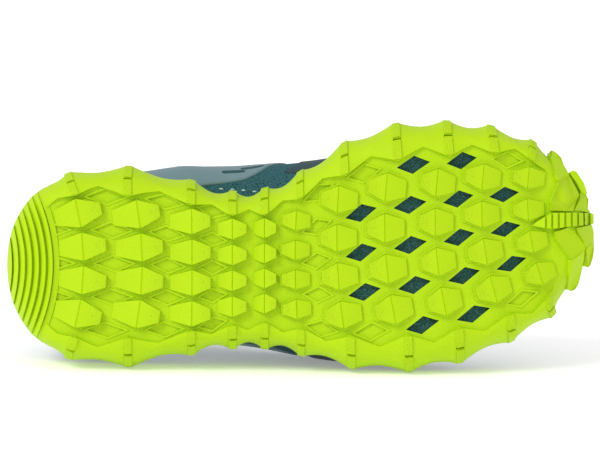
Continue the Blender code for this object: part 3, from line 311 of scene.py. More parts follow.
def select_only(*objects):
    bpy.ops.object.select_all(action="DESELECT")
    for one in objects:
        one.select_set(True)
    bpy.context.view_layer.objects.active = objects[0]


def apply_modifiers(piece):
    select_only(piece)
    for step in list(piece.modifiers):
        bpy.ops.object.modifier_apply(modifier=step.name)


cup_rings = [with_height(SPINE, floor_under)]
cup_rings += [underside_ring(s) for s in np.linspace(1, 0, BOTTOM_RINGS)[1:]]
cup_rings += [edge_ring(s) for s in (0.965, *np.linspace(0.90, 0.10, EDGE_RINGS), 0.045, 0.0)]


def lip_height(x):
    return footbed(x) + LIP_RISE


widest = cup_rings[-1]
lip = with_height(at(LIP_INSET + LIP_SCALLOP * SCALLOP), lip_height)
for share in (0.25, 0.5, 0.75, 0.93):
    cup_rings.append(widest + (lip - widest) * share + np.array([0, 0, 0]))
cup_rings.append(lip + (with_height(at(LIP_INSET + LIP_SCALLOP * SCALLOP + 0.0006), lip_height) - lip) + [0, 0, 0.0004])
cup_rings.append(with_height(at(CUP_INSET - 0.0004), lip_height) + [0, 0, 0.0003])
cup_rings.append(with_height(at(CUP_INSET), lip_height))
cup_rings.append(with_height(at(CUP_INSET), footbed))
cup_rings.append(with_height(at((CUP_INSET + CUP_FLOOR_INSET) / 2), lambda x: cup_floor(x) + 0.35 * (footbed(x) - cup_floor(x))))
cup_rings.append(with_height(at(CUP_FLOOR_INSET), cup_floor))
cup_rings.append(with_height(SPINE, cup_floor))
bm = bmesh.new()
loft(bm, cup_rings)
cup = mesh_of(bm, "outsole_cup")
print("cup", len(cup.data.polygons), "faces")

# %% [markdown]
# The lattice between the lugs has sixteen diamond windows cut right through to the foam, and
# shallow diamond pockets elsewhere. A short slot is cut across each rib. One Boolean takes the
# windows out, and a second takes out the pockets and slots, whose cutters are joined.

# %% Windows, pockets and slots
POCKET_DEPTH, PLAIN_GAPS = 0.0008, (4, 5)
SLOT_LENGTH, SLOT_WIDTH, SLOT_DEPTH, SLOT_PLACE = 0.0042, 0.0012, 0.0024, 0.555
RIB_WIDTH, RIB_RAISE = 0.0039, 0.00065
WINDOW_LENGTH, WINDOW_WIDTH, WINDOW_TILT = 0.66, 0.455, 0.0008
HEEL_BAR_PITCH, HEEL_BAR_COUNT, HEEL_BAR_HEIGHT = 0.00343, 7, 0.0025
HEEL_BAR_MARGIN, HEEL_ARC_RADIUS, HEEL_BAR_STEPS = 0.0006, 0.0566, 48
HEEL_CENTRE = np.array([-HEEL_ARC_RADIUS, HEEL_TIP_CENTRE * BALL_WIDTH])
NOTCH_LENGTH, NOTCH_HALF_WIDTH = 0.0062, 0.0021


def prism(bm, low, high):
    """A closed prism between two matching loops."""
    a, b = [bm.verts.new(p) for p in low], [bm.verts.new(p) for p in high]
    made = [bm.faces.new(a[::-1]), bm.faces.new(b)]
    for i in range(len(a)):
        j = (i + 1) % len(a)
        made.append(bm.faces.new((a[i], a[j], b[j], b[i])))
    return a, b


def diamond(i, j, length, width, tilt=0.0):
    """The corners of the lattice's gap between two cross rows and two rows of lugs."""
    start, end = junction(TREAD[i - 1], j), junction(TREAD[i], j)
    centre, along = (start + end) / 2, (end - start) * length / 2 - np.array([0, tilt])
    near = junction(TREAD[i - 1], 1) - junction(TREAD[i - 1], 0)
    far = junction(TREAD[i], 1) - junction(TREAD[i], 0)
    across = (near + far) * width / 4
    return [centre - along, centre - across, centre + along, centre + across]


def heel_notch(j):
    """A small pocket that opens towards the heel crescent, between two rows of lugs."""
    y = float(junction(TREAD[0], j)[1])
    reach = HEEL_ARC_RADIUS + (HEEL_BAR_COUNT + 0.85) * HEEL_BAR_PITCH
    x = HEEL_CENTRE[0] + math.sqrt(reach**2 - (y - HEEL_CENTRE[1]) ** 2)
    lean = (y - HEEL_CENTRE[1]) / reach * NOTCH_HALF_WIDTH
    return [np.array([x + lean, y - NOTCH_HALF_WIDTH]), np.array([x + NOTCH_LENGTH, y]),
            np.array([x - lean, y + NOTCH_HALF_WIDTH])]


def rib_index(row_number, side):
    """The outline's point at a rib's tip."""
    return (side * EDGE_STEPS * (FIRST_RIB + row_number)) % COUNT


def rib_point(k, place):
    """A point on a rib, from 0 at its inner end to 1 at the tip, with the ways along the edge, up and out."""
    rings = EDGE_STACK[:, k]
    step = place * (len(rings) - 1)
    low = min(int(step), len(rings) - 2)
    here = rings[low] + (rings[low + 1] - rings[low]) * (step - low)
    up = rings[low + 1] - rings[low]
    along = EDGE_STACK[low, (k + 1) % COUNT] - EDGE_STACK[low, k - 1]
    along /= np.linalg.norm(along)
    normal = np.cross(up, along)
    normal /= np.linalg.norm(normal)
    if normal[2] > 0:
        normal = -normal
    return here, along, up / np.linalg.norm(up), normal


EDGE_STACK = np.array([edge_ring(s) for s in np.linspace(0.95, 0.0, 24)])
windows, pockets = [], []
for i in range(1, len(TREAD)):
    for j in range(ROWS + 1):
        if j in WINDOWS.get(i, ()):
            windows.append(diamond(i, j, WINDOW_LENGTH, WINDOW_WIDTH, WINDOW_TILT))
        elif i not in PLAIN_GAPS:
            pockets.append(diamond(i, j, DIAMOND_LENGTH, DIAMOND_WIDTH))
pockets += [heel_notch(j) for j in range(1, ROWS)]


def window_cutter(name):
    bm = bmesh.new()
    for corners in windows:
        prism(bm, [(x, y, floor_under(x) - 2 * LUG_HEIGHT) for x, y in corners],
              [(x, y, floor_under(x) + 2 * FLOOR_THICKNESS) for x, y in corners])
    return mesh_of(bm, name)


def cut_out(piece, cutter):
    """Takes the cutter's solids out of a piece and deletes the cutter."""
    cut = piece.modifiers.new(cutter.name, "BOOLEAN")
    cut.operation, cut.solver, cut.object, cut.use_self = "DIFFERENCE", "EXACT", cutter, True
    apply_modifiers(piece)
    bpy.data.objects.remove(cutter)


cut_out(cup, window_cutter("window_cutter"))
bm = bmesh.new()
for corners in pockets:
    prism(bm, [(x, y, floor_under(x) - 0.4 * LUG_HEIGHT) for x, y in corners],
          [(x, y, floor_under(x) + POCKET_DEPTH) for x, y in corners])
for number in range(len(TREAD)):
    for side in (1, -1):
        centre, along, up, normal = rib_point(rib_index(number, side), SLOT_PLACE)
        loops = []
        for out in (-SLOT_DEPTH, SLOT_DEPTH):
            loops.append([centre + normal * out + along * a * SLOT_LENGTH / 2 + up * b * SLOT_WIDTH / 2
                          for a, b in ((-1, -1), (1, -1), (1, 1), (-1, 1))])
        prism(bm, *loops)
cut_out(cup, mesh_of(bm, "pocket_cutter"))
print("cut", len(windows), "windows,", len(pockets), "pockets; cup now", len(cup.data.polygons), "faces")

# %% [markdown]
# One lug is modelled by hand: a six-sided prism, whose top is inset, with a crease joined across
# from side corner to side corner and its edges bevelled. A terraced one stands on a wider step, as
# the forefoot's do. Copies are then fitted to the six corners that the table gives each lug.

# %% Lugs
HEX = [Vector((math.cos(math.radians(a)), math.sin(math.radians(a)))) for a in (90, 30, -30, -90, -150, 150)]
CREASE_WIDTH, CREASE_DEPTH, RAMP_FOOT = 0.044, 0.110, 0.16
TERRACE_WIDTH, TERRACE_HEIGHT, TERRACE_GAP, TERRACE_REACH = 0.105, 0.50, 0.0016, 1.07


def model_lug(name, terrace):
    """A unit lug: corners on a circle of radius 1, foot at height 0, face at height 1."""
    bpy.ops.object.select_all(action="DESELECT")
    bpy.ops.mesh.primitive_circle_add(vertices=6, radius=1.05 if terrace else 1.03, fill_type="NGON")
    lug = bpy.context.object
    lug.name = name
    bpy.ops.object.mode_set(mode="EDIT")
    bpy.ops.mesh.select_all(action="SELECT")
    bpy.ops.mesh.extrude_region_move(TRANSFORM_OT_translate={"value": (0, 0, TERRACE_HEIGHT if terrace else 1.0)})
    bpy.ops.transform.resize(value=(0.97, 0.97, 1.0))
    if terrace:
        bpy.ops.mesh.inset(thickness=TERRACE_WIDTH)
        bpy.ops.mesh.extrude_region_move(TRANSFORM_OT_translate={"value": (0, 0, 1 - TERRACE_HEIGHT)})
        bpy.ops.transform.resize(value=(0.975, 0.975, 1.0))
    bpy.ops.object.mode_set(mode="OBJECT")
    top = max(v.co.z for v in lug.data.vertices)
    for v in lug.data.vertices:
        v.select = abs(v.co.z - top) < 1e-4 and abs(v.co.x) < 1e-4
    for e in lug.data.edges:
        e.select = False
    for f in lug.data.polygons:
        f.select = False
    bpy.ops.object.mode_set(mode="EDIT")
    bpy.ops.mesh.select_mode(type="VERT")
    bpy.ops.mesh.vert_connect_path()
    bpy.ops.mesh.select_all(action="SELECT")
    bpy.ops.mesh.normals_make_consistent(inside=False)
    bpy.ops.object.mode_set(mode="OBJECT")
    edge = lug.modifiers.new("edge", "BEVEL")
    edge.width, edge.segments, edge.limit_method, edge.angle_limit = 0.040, 2, "ANGLE", math.radians(40)
    apply_modifiers(lug)
    on_crease = [abs(v.co.z - top) < 1e-4 and abs(v.co.x) < 1e-4 for v in lug.data.vertices]
    for v in lug.data.vertices:
        v.select = on_crease[v.index]
    for e in lug.data.edges:
        e.select = all(on_crease[i] for i in e.vertices)
    bpy.ops.object.mode_set(mode="EDIT")
    bpy.ops.mesh.bevel(offset=CREASE_WIDTH, segments=2)
    bpy.ops.object.mode_set(mode="OBJECT")
    for v in lug.data.vertices:
        if abs(v.co.x) < CREASE_WIDTH / 2 and v.co.z > top - 0.02:
            v.co.z -= CREASE_DEPTH
    return lug


def lug_corners(row, j, steep_front):
    """The six plan corners of a lug and the share of its height at each."""
    medial, lateral = junction(row, j), junction(row, j + 1)
    across = (lateral - medial) / np.linalg.norm(lateral - medial)
    ahead = np.array([across[1], -across[0]])
    centre, pitch = (medial + lateral) / 2, np.linalg.norm(lateral - medial)
    half = pitch / 2 - (LUG_GAP if steep_front else TERRACE_GAP)
    stretch = SOLE_LENGTH * (1.0 if steep_front else TERRACE_REACH)
    front_end, back_end = (STEEP_END, RAMP_END) if steep_front else (RAMP_END, STEEP_END)
    front_high, back_high = (1.0, RAMP_FOOT) if steep_front else (RAMP_DROP, 1.0)
    front = centre + ahead * row.front * stretch
    back = centre - ahead * row.back * stretch
    return centre, [
        (centre - across * half, 1.0), (front - across * front_end * pitch, front_high),
        (front + across * front_end * pitch, front_high), (centre + across * half, 1.0),
        (back + across * back_end * pitch, back_high), (back - across * back_end * pitch, back_high)]


def fit_lug(master, name, centre, corners):
    """A copy of the unit lug, drawn out to the plan corners; its ramp falls and its foot sinks in the floor."""
    mesh = master.data.copy()
    grain = mesh.attributes.new("grain", "FLOAT", "POINT")
    for v in mesh.vertices:
        x, y, z = v.co
        angle = math.degrees(math.atan2(y, x))
        k = int(((90 - angle) % 360) // 60)
        a, b = HEX[k], HEX[(k + 1) % 6]
        det = a.x * b.y - a.y * b.x
        s, t = (x * b.y - y * b.x) / det, (a.x * y - a.y * x) / det
        (p, high_p), (q, high_q) = corners[k], corners[(k + 1) % 6]
        plan = centre + s * (p - centre) + t * (q - centre)
        high = 1 + s * (high_p - 1) + t * (high_q - 1)
        under = float(floor_under(plan[0]))
        foot = under + FLOOR_THICKNESS / 2
        v.co = (plan[0], plan[1], foot - z * (foot - under + max(high, 0.05) * LUG_HEIGHT))
        flat = high > 0.97
        grain.data[v.index].value = 1.0 if flat and abs(x) > 0.05 else 0.15
    made = bpy.data.objects.new(name, mesh)
    COLLECTION.objects.link(made)
    return made


plain_lug, terraced_lug = model_lug("plain_lug", False), model_lug("terraced_lug", True)
lugs = []
for number, row in enumerate(TREAD):
    for j in range(ROWS):
        centre, corners = lug_corners(row, j, number < BRAKING_COLUMNS)
        master = plain_lug if number < BRAKING_COLUMNS else terraced_lug
        lugs.append(fit_lug(master, f"lug_{number}_{j}", centre, corners))
for master in (plain_lug, terraced_lug):
    bpy.data.objects.remove(master)
select_only(*lugs)
bpy.ops.object.join()
lugs = bpy.context.object
select_only(lugs)
bpy.ops.object.mode_set(mode="EDIT")
bpy.ops.mesh.select_all(action="SELECT")
bpy.ops.mesh.normals_make_consistent(inside=False)
bpy.ops.object.mode_set(mode="OBJECT")
cut_out(lugs, window_cutter("terrace_cutter"))
print("lugs", len(lugs.data.polygons), "faces")

# %% [markdown]
# The heel's crescent is a saw-tooth of seven curved bars. Each rises towards the toe and drops
# steeply there, which is why the photograph shows a dark line in front of each one.

# %% Heel crescent
BAR_PROFILE = ((0.27, -0.6), (0.27, 0.34), (0.33, 0.52), (0.80, 0.97), (0.90, 1.0), (0.985, 0.90), (1.0, -0.6))
SILL_PROFILE = ((0.05, -0.6), (0.10, 0.42), (0.72, 0.10), (0.78, 0.10), (0.80, 0.26), (0.90, 0.26), (0.92, -0.6))


def underside(x, y):
    """Height of the sole's underside, up its rounded edge too, without any lug."""
    k = int(np.linalg.norm(OUTLINE - (x, y), axis=1).argmin())
    reach = REACH[k] * (1 - ZIGZAG_SHARE * (1 - RIB_SHARE[k]))
    share = min(1.0, max(0.0, edge_distance(x, y) - SCALLOP[k]) / reach)
    return float(floor_under(x)) + WIDEST_HEIGHT * (1 - math.sqrt(max(0.0, 1 - (1 - share) ** 2)))


def kept_inside(x, y, margin):
    """The plan point, moved in from the outline if it lies outside it or too near."""
    k = int(np.linalg.norm(OUTLINE - (x, y), axis=1).argmin())
    depth = float((np.array([x, y]) - OUTLINE[k]) @ INWARD[k])
    return np.array([x, y]) + INWARD[k] * max(0.0, margin - depth)


def bar_end(radius, side):
    for angle in np.arange(0.02, 1.2, 0.005):
        if edge_distance(*(HEEL_CENTRE + radius * np.array([math.cos(angle), side * math.sin(angle)]))) < HEEL_BAR_MARGIN:
            return side * angle
    return side * 1.2


def closed_strip(bm, sections):
    made = loft(bm, sections)
    bm.faces.new(made[0][::-1])
    bm.faces.new(made[-1])


bm = bmesh.new()
for number in range(HEEL_BAR_COUNT + 1):
    profile = BAR_PROFILE if number < HEEL_BAR_COUNT else SILL_PROFILE
    start = HEEL_ARC_RADIUS + number * HEEL_BAR_PITCH
    outer = start + HEEL_BAR_PITCH
    sections = []
    for angle in np.linspace(bar_end(outer, -1), bar_end(outer, 1), HEEL_BAR_STEPS):
        way = np.array([math.cos(angle), math.sin(angle)])
        section = []
        for step, high in profile:
            x, y = kept_inside(*(HEEL_CENTRE + way * (start + step * HEEL_BAR_PITCH)), HEEL_BAR_MARGIN)
            section.append((x, y, underside(x, y) - high * HEEL_BAR_HEIGHT))
        sections.append(section)
    closed_strip(bm, sections)
bars = mesh_of(bm, "heel_bars")
print("heel bars", len(bars.data.polygons), "faces")

# %% [markdown]
# Four bent claws and a toothed strip bite at the toe. Each facet of a claw is a prism over its
# corners, and the strip is a loft of sections along it; all are set square to the rounded toe,
# with their edges bevelled.

# %% Toe claws and toothed strip
CLAW_ROOT, CLAW_MARGIN, CLAW_OVERHANG, FOOT_SETBACK = 0.0016, 0.0012, 0.0052, 0.7
# The toe bends away from the camera, so a place read in the photograph lies farther out than it looks.
TOE_LEAN, TOE_LEAN_START = 0.07, 268.0
# Corners of each facet in millimetres from the heel and the middle, with the share of a lug's height there.
CLAW_FACETS = {
    "inner medial arm": ((268.7, -55.4, 0.60), (269.6, -56.3, 0.70), (271.5, -55.2, 0.85), (273.9, -52.7, 0.95),
                         (275.1, -49.4, 1.00), (277.8, -44.2, 0.92), (272.3, -41.4, 1.00), (271.2, -43.1, 0.98),
                         (269.0, -52.4, 0.80)),
    "inner medial wedge": ((272.3, -41.4, 0.86), (277.8, -44.2, 0.72), (282.2, -35.4, 0.80), (282.1, -33.8, 0.82),
                           (280.0, -29.7, 0.76), (278.9, -26.1, 0.62), (275.3, -26.0, 0.74), (268.5, -26.4, 0.86),
                           (268.2, -30.4, 0.95)),
    "outer medial arm": ((278.1, -45.0, 0.80), (279.4, -46.3, 0.75), (281.2, -45.7, 0.85), (284.6, -40.3, 0.95),
                         (286.2, -35.4, 0.95), (285.9, -33.9, 0.95), (283.5, -35.5, 1.00), (281.6, -39.8, 1.00)),
    "outer medial wedge": ((283.5, -35.5, 0.92), (285.9, -33.9, 0.86), (286.9, -31.8, 0.88), (286.6, -27.5, 0.80),
                           (287.9, -25.4, 0.70), (279.4, -26.4, 0.55), (281.6, -29.9, 0.80)),
    "inner lateral wedge": ((270.1, -15.9, 0.84), (272.8, -16.5, 0.80), (276.7, -18.1, 0.62), (279.4, -16.5, 0.62),
                            (284.9, -9.1, 0.76), (285.0, -7.4, 0.80), (284.4, -6.1, 0.82), (281.6, -3.6, 0.86),
                            (278.1, -1.7, 0.90), (276.8, -3.3, 0.95), (270.5, -12.6, 0.95)),
    "inner lateral arm": ((278.1, -1.7, 1.00), (281.6, -3.6, 1.00), (284.5, -6.1, 0.94), (284.5, -2.5, 0.95),
                          (283.8, 2.4, 0.92), (282.4, 9.8, 0.85), (280.5, 12.9, 0.75), (278.6, 13.7, 0.65),
                          (276.8, 12.7, 0.62), (277.2, 5.2, 0.82)),
    "outer lateral wedge": ((280.5, -17.6, 0.60), (283.8, -18.4, 0.70), (288.6, -19.3, 0.80), (289.4, -15.7, 0.88),
                            (289.4, -10.7, 0.90), (285.7, -7.9, 0.95), (284.6, -10.7, 0.92), (281.6, -15.4, 0.78)),
    "outer lateral arm": ((285.7, -7.9, 1.00), (289.4, -10.5, 0.96), (289.5, -7.4, 0.94), (289.0, -3.1, 0.92),
                          (287.8, 0.9, 0.84), (286.7, 1.9, 0.78), (284.5, 1.2, 0.80), (285.6, -5.2, 0.95)),
}
STRIP_OUTLINE = ((259.2, -19.4, -18.9), (263.5, -22.0, -18.0), (269.0, -25.2, -17.3), (279.4, -25.3, -18.7),
                 (288.0, -25.2, -19.3), (289.4, -24.6, -19.9))
STRIP_GROOVES, STRIP_PITCH, STRIP_LAST = 8, 3.06, 287.3


def toe_point(x, y, height):
    """A point off the rounded toe, which may stand over its edge, and the point in the wall under it."""
    x += TOE_LEAN * max(0.0, x - TOE_LEAN_START)
    wanted = kept_inside(x / 1000, y / 1000, -CLAW_OVERHANG)
    x, y = kept_inside(*wanted, CLAW_MARGIN)
    step = 0.0007
    slope_x = (underside(x + step, y) - underside(x - step, y)) / (2 * step)
    slope_y = (underside(x, y + step) - underside(x, y - step)) / (2 * step)
    out = np.array([slope_x, slope_y, -1.0]) / math.hypot(slope_x, slope_y, 1.0)
    foot = kept_inside(*(np.array([x, y]) - out[:2] * height * LUG_HEIGHT * FOOT_SETBACK), CLAW_MARGIN)
    base = np.array([*foot, underside(*foot)])
    top = np.array([*wanted, base[2] + out[2] * height * LUG_HEIGHT])
    return top, base - out * CLAW_ROOT


bm = bmesh.new()
for corners in CLAW_FACETS.values():
    pairs = [toe_point(*corner) for corner in corners]
    prism(bm, [low for _, low in pairs], [high for high, _ in pairs])


def strip_section(x, height):
    """Across the strip: down one wall, over the top and down the other."""
    stations, upper_edge, lower_edge = zip(*STRIP_OUTLINE)
    ends = [(x, float(np.interp(x, stations, edge))) for edge in (upper_edge, lower_edge)]
    (high_a, low_a), (high_b, low_b) = (toe_point(*end, height) for end in ends)
    return [low_a, high_a, high_b, low_b]


sections = [strip_section(STRIP_OUTLINE[0][0], 0.30), strip_section(263.5, 0.80)]
for number in range(STRIP_GROOVES):
    groove = STRIP_LAST - (STRIP_GROOVES - 1 - number) * STRIP_PITCH
    for shift, high in ((-0.55, 0.98), (-0.20, 0.62), (0.20, 0.62), (0.55, 0.98)):
        sections.append(strip_section(groove + shift, high))
sections += [strip_section(288.9, 0.90), strip_section(STRIP_OUTLINE[-1][0], 0.60)]
closed_strip(bm, sections)
claws = mesh_of(bm, "toe_claws")
edge = claws.modifiers.new("edge", "BEVEL")
edge.width, edge.segments, edge.limit_method, edge.angle_limit = 0.00040, 2, "ANGLE", math.radians(32)
apply_modifiers(claws)
print("toe claws", len(claws.data.polygons), "faces")

# %% [markdown]
# Small mouldings finish the tread: a textured band along every rib, with its slot left open, a thin
# raised frame round every pocket, and a tiny dot on the flat facet of each lug.

# %% Ribs, frames and dots
FRAME_WIDTH, FRAME_RAISE, DOT_RADIUS = 0.00085, 0.00045, 0.00055
RIB_ROOT, RIB_BEVEL, RIB_GAP = 0.0022, 0.00022, 0.038


def rib_band(bm, k, first, last, steps):
    """A flat-topped bar along a rib, level with the rib's own ridge at the tip."""
    sections = []
    for place in np.linspace(first, last, steps):
        centre, along, up, normal = rib_point(k, place)
        raised = RIB_RAISE * (1 - max(0.0, (place - 0.80) / 0.20) ** 2)
        shape = ((-RIB_WIDTH / 2 - 0.0002, -RIB_ROOT), (-RIB_WIDTH / 2, raised - RIB_BEVEL),
                 (-RIB_WIDTH / 2 + RIB_BEVEL, raised), (RIB_WIDTH / 2 - RIB_BEVEL, raised),
                 (RIB_WIDTH / 2, raised - RIB_BEVEL), (RIB_WIDTH / 2 + 0.0002, -RIB_ROOT))
        sections.append([centre + along * sideways + normal * out for sideways, out in shape])
    closed_strip(bm, sections)


bm = bmesh.new()
for number in range(len(TREAD)):
    for side in (1, -1):
        k = rib_index(number, side)
        rib_band(bm, k, 0.035, SLOT_PLACE - RIB_GAP, 10)
        rib_band(bm, k, SLOT_PLACE + RIB_GAP, 0.99, 12)
ribs = mesh_of(bm, "rib_bands")
bm = bmesh.new()
for corners in pockets:
    middle_point = sum(corners) / len(corners)
    rings = []
    for grow, low in ((0.0, -0.0002), (0.0, FRAME_RAISE), (FRAME_WIDTH, FRAME_RAISE), (FRAME_WIDTH * 1.25, -0.0004)):
        ring = []
        for n, c in enumerate(corners):
            ways = [(c - corners[n - 1]), (c - corners[(n + 1) % len(corners)])]
            ways = [way / np.linalg.norm(way) for way in ways]
            spread = abs(ways[0][0] * ways[1][1] - ways[0][1] * ways[1][0])
            moved = c + (ways[0] + ways[1]) * grow / max(spread, 0.35)
            ring.append((*moved, float(floor_under(c[0])) - low))
        rings.append(ring)
    loft(bm, rings, wrap=True)
frames = mesh_of(bm, "pocket_frames")
bm = bmesh.new()
for number, row in enumerate(TREAD):
    for j in range(ROWS):
        centre, corners = lug_corners(row, j, number < BRAKING_COLUMNS)
        flat = [p for p, high in corners if high > 0.97]
        place = sum(flat) / len(flat)
        place = place + (place - centre) * 0.15
        spot = Matrix.Translation((place[0], place[1], float(floor_under(place[0])) - LUG_HEIGHT))
        bmesh.ops.create_icosphere(bm, subdivisions=2, radius=DOT_RADIUS, matrix=spot @ Matrix.Diagonal((1, 1, 0.5, 1)))
dots = mesh_of(bm, "lug_dots")
for piece, angle in ((cup, 26), (lugs, 9), (bars, 30), (claws, 8), (ribs, 20), (frames, 20), (dots, 60)):
    select_only(piece)
    bpy.ops.object.shade_smooth_by_angle(angle=math.radians(angle))
select_only(cup, lugs, bars, claws, ribs, frames, dots)
for piece, value in ((ribs, 1.0), (bars, 0.0), (claws, 0.0), (frames, 0.1), (dots, 0.0), (cup, 0.35)):
    grain = piece.data.attributes.new("grain", "FLOAT", "POINT")
    grain.data.foreach_set("value", np.full(len(piece.data.vertices), value, dtype=np.float32))
bpy.ops.object.join()
outsole = bpy.context.object
outsole.name = "outsole_rubber"
lay_down(outsole)
print("outsole", len(outsole.data.polygons), "faces, size", [round(c, 4) for c in outsole.dimensions])

# %% [markdown]
# Moulded rubber: one colour, mottled a little darker at random, a satin skin, and a fine stipple
# where the mould was sand-blasted. The stipple and a slow mottling come from one node group,
# because the films use them as well.


# %% Shared effects as node groups
def group_of(name, inputs, outputs):
    made = bpy.data.node_groups.new(name, "ShaderNodeTree")
    for label, kind, value in inputs:
        socket = made.interface.new_socket(name=label, in_out="INPUT", socket_type=kind)
        if value is not None:
            socket.default_value = value
    for label, kind in outputs:
        made.interface.new_socket(name=label, in_out="OUTPUT", socket_type=kind)
    return made, made.nodes.new("NodeGroupInput"), made.nodes.new("NodeGroupOutput")


def node(tree, kind, label=None, **settings):
    made = tree.nodes.new(kind)
    for key, value in settings.items():
        setattr(made, key, value)
    if label:
        made.label = label
    return made


speckle_group, speckle_in, speckle_out = group_of(
    "fine_stipple", [("Size", "NodeSocketFloat", 1800.0), ("Contrast", "NodeSocketFloat", 0.5)],
    [("Height", "NodeSocketFloat"), ("Mottle", "NodeSocketFloat")])
place = node(speckle_group, "ShaderNodeTexCoord")
fine = node(speckle_group, "ShaderNodeTexNoise")
fine.inputs["Detail"].default_value = 2.0
slow = node(speckle_group, "ShaderNodeTexNoise")
slow.inputs["Scale"].default_value = 45.0
slow.inputs["Detail"].default_value = 3.0
gain = node(speckle_group, "ShaderNodeMath", operation="MULTIPLY")
link = speckle_group.links.new
link(place.outputs["Object"], fine.inputs["Vector"])
link(place.outputs["Object"], slow.inputs["Vector"])
link(speckle_in.outputs["Size"], fine.inputs["Scale"])
link(fine.outputs["Fac"], gain.inputs[0])
link(speckle_in.outputs["Contrast"], gain.inputs[1])
link(gain.outputs[0], speckle_out.inputs["Height"])
link(slow.outputs["Fac"], speckle_out.inputs["Mottle"])
print("node group", speckle_group.name)


# %% Rubber material
def blend_colours(tree, factor, first, second):
    mix = node(tree, "ShaderNodeMix", data_type="RGBA")
    mix.inputs[6].default_value = (*first, 1.0)
    mix.inputs[7].default_value = (*second, 1.0)
    tree.links.new(factor, mix.inputs[0])
    return mix


def new_material(name, roughness, specular=0.5):
    made = bpy.data.materials.new(name)
    made.use_nodes = True
    shader = made.node_tree.nodes["Principled BSDF"]
    shader.inputs["Roughness"].default_value = roughness
    shader.inputs["Specular IOR Level"].default_value = specular
    return made, made.node_tree, shader


LIME, LIME_DEEP = (0.455, 0.680, 0.003), (0.410, 0.632, 0.001)
rubber, tree, shader = new_material("lime_rubber", 0.55, 0.18)
speckle = node(tree, "ShaderNodeGroup", node_tree=speckle_group)
speckle.inputs["Size"].default_value = 1500.0
speckle.inputs["Contrast"].default_value = 1.0
grain = node(tree, "ShaderNodeAttribute", attribute_name="grain")
amount = node(tree, "ShaderNodeMath", operation="MULTIPLY")
bump = node(tree, "ShaderNodeBump")
bump.inputs["Distance"].default_value = 0.00100
bump.inputs["Strength"].default_value = 0.70
mix = blend_colours(tree, speckle.outputs["Mottle"], LIME_DEEP, LIME)
tree.links.new(speckle.outputs["Height"], amount.inputs[0])
tree.links.new(grain.outputs["Fac"], amount.inputs[1])
tree.links.new(amount.outputs[0], bump.inputs["Height"])
tree.links.new(bump.outputs["Normal"], shader.inputs["Normal"])
tree.links.new(mix.outputs[2], shader.inputs["Base Color"])


def finish_piece(piece, material, node_name, smooth=None):
    """Gives a piece its one material and its place in the frame."""
    piece.data.materials.clear()
    piece.data.materials.append(material)
    if smooth is not None:
        select_only(piece)
        bpy.ops.object.shade_smooth_by_angle(angle=math.radians(smooth))
    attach(piece, "root")
    if node_name:
        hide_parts(node_name)


finish_piece(outsole, rubber, "outsole")
print("outsole finished")

# %% [markdown]
# The upper is one skin drawn over a last. Rays run from the cup's lip to the edge of the opening,
# each a curve with two handles, and the skin is read off them anywhere. What lies on the upper is
# then the same skin moved outwards, so that film, stitches and laces all sit true on it.

# %% Sizes of the upper
COLLAR_HEIGHT, INSTEP_HEIGHT, OPENING_WIDTH = 0.0980, 0.0920, 0.0640
WALL, COLLAR_PADDING, ARCH_SWELL, WAIST_EASE = 0.0020, 0.0060, 0.0200, 0.0024
ARCH_START, ARCH_PEAK, ARCH_END = 0.16, 0.42, 0.66
OVERLAY, FILM_GAP, FOOT_LEVEL = 0.0009, 0.0008, 0.03
HEIGHTS = {"collar": COLLAR_HEIGHT, "instep": INSTEP_HEIGHT}
Ray = namedtuple("Ray", "along top_x half high driver low swell reach drop")
RAYS = (
    Ray(0.00, 0.052, 0.00, 1.000, "collar", 0.40, 0.06, -0.12, 0.40),
    Ray(0.09, 0.062, 0.46, 0.975, "collar", 0.40, 0.08, -0.08, 0.40),
    Ray(0.18, 0.108, 0.85, 0.850, "collar", 0.40, 0.13, 0.04, 0.40),
    Ray(0.27, 0.175, 1.00, 0.755, "collar", 0.40, 0.15, 0.12, 0.40),
    Ray(0.36, 0.245, 1.00, 0.775, "collar", 0.40, 0.14, 0.18, 0.38),
    Ray(0.44, 0.312, 0.88, 0.930, "instep", 0.41, 0.13, 0.25, 0.33),
    Ray(0.51, 0.362, 0.66, 1.000, "instep", 0.42, 0.12, 0.33, 0.27),
    Ray(0.59, 0.412, 0.48, 0.980, "instep", 0.42, 0.12, 0.41, 0.21),
    Ray(0.68, 0.467, 0.40, 0.900, "instep", 0.42, 0.12, 0.47, 0.18),
    Ray(0.78, 0.527, 0.34, 0.815, "instep", 0.44, 0.12, 0.52, 0.16),
    Ray(0.88, 0.580, 0.28, 0.745, "instep", 0.47, 0.09, 0.68, 0.16),
    Ray(0.95, 0.612, 0.17, 0.705, "instep", 0.51, 0.05, 0.95, 0.16),
    Ray(1.00, 0.624, 0.00, 0.690, "instep", 0.54, 0.04, 1.15, 0.16),
)
RAY_STEPS, LEVEL_STEPS = 8, 44


# %% The upper's skin
def ease(value, start, end):
    share = np.clip((np.asarray(value) - start) / (end - start), 0.0, 1.0)
    return share * share * (3 - 2 * share)


def arch_share(x):
    share = x / SOLE_LENGTH
    if not ARCH_START < share < ARCH_END:
        return 0.0
    span = (ARCH_PEAK - ARCH_START) if share < ARCH_PEAK else (ARCH_END - ARCH_PEAK)
    return math.cos(math.pi / 2 * (share - ARCH_PEAK) / span) ** 2


ray_rows = [(*ray[:3], ray.high * HEIGHTS[ray.driver] / COLLAR_HEIGHT, *ray[5:]) for ray in RAYS]
fine_rays = hermite(ray_rows, False, np.arange(RAY_STEPS) / RAY_STEPS)
ALONG = fine_rays[:, 0]
TOE_POINT = COUNT // 2
foot_plan = at(CUP_INSET + GAP + WAIST_EASE * np.array([arch_share(x) for x in OUTLINE[:, 0]]))
axis = (foot_plan + np.roll(foot_plan[::-1], 1, axis=0))[: TOE_POINT + 1] / 2


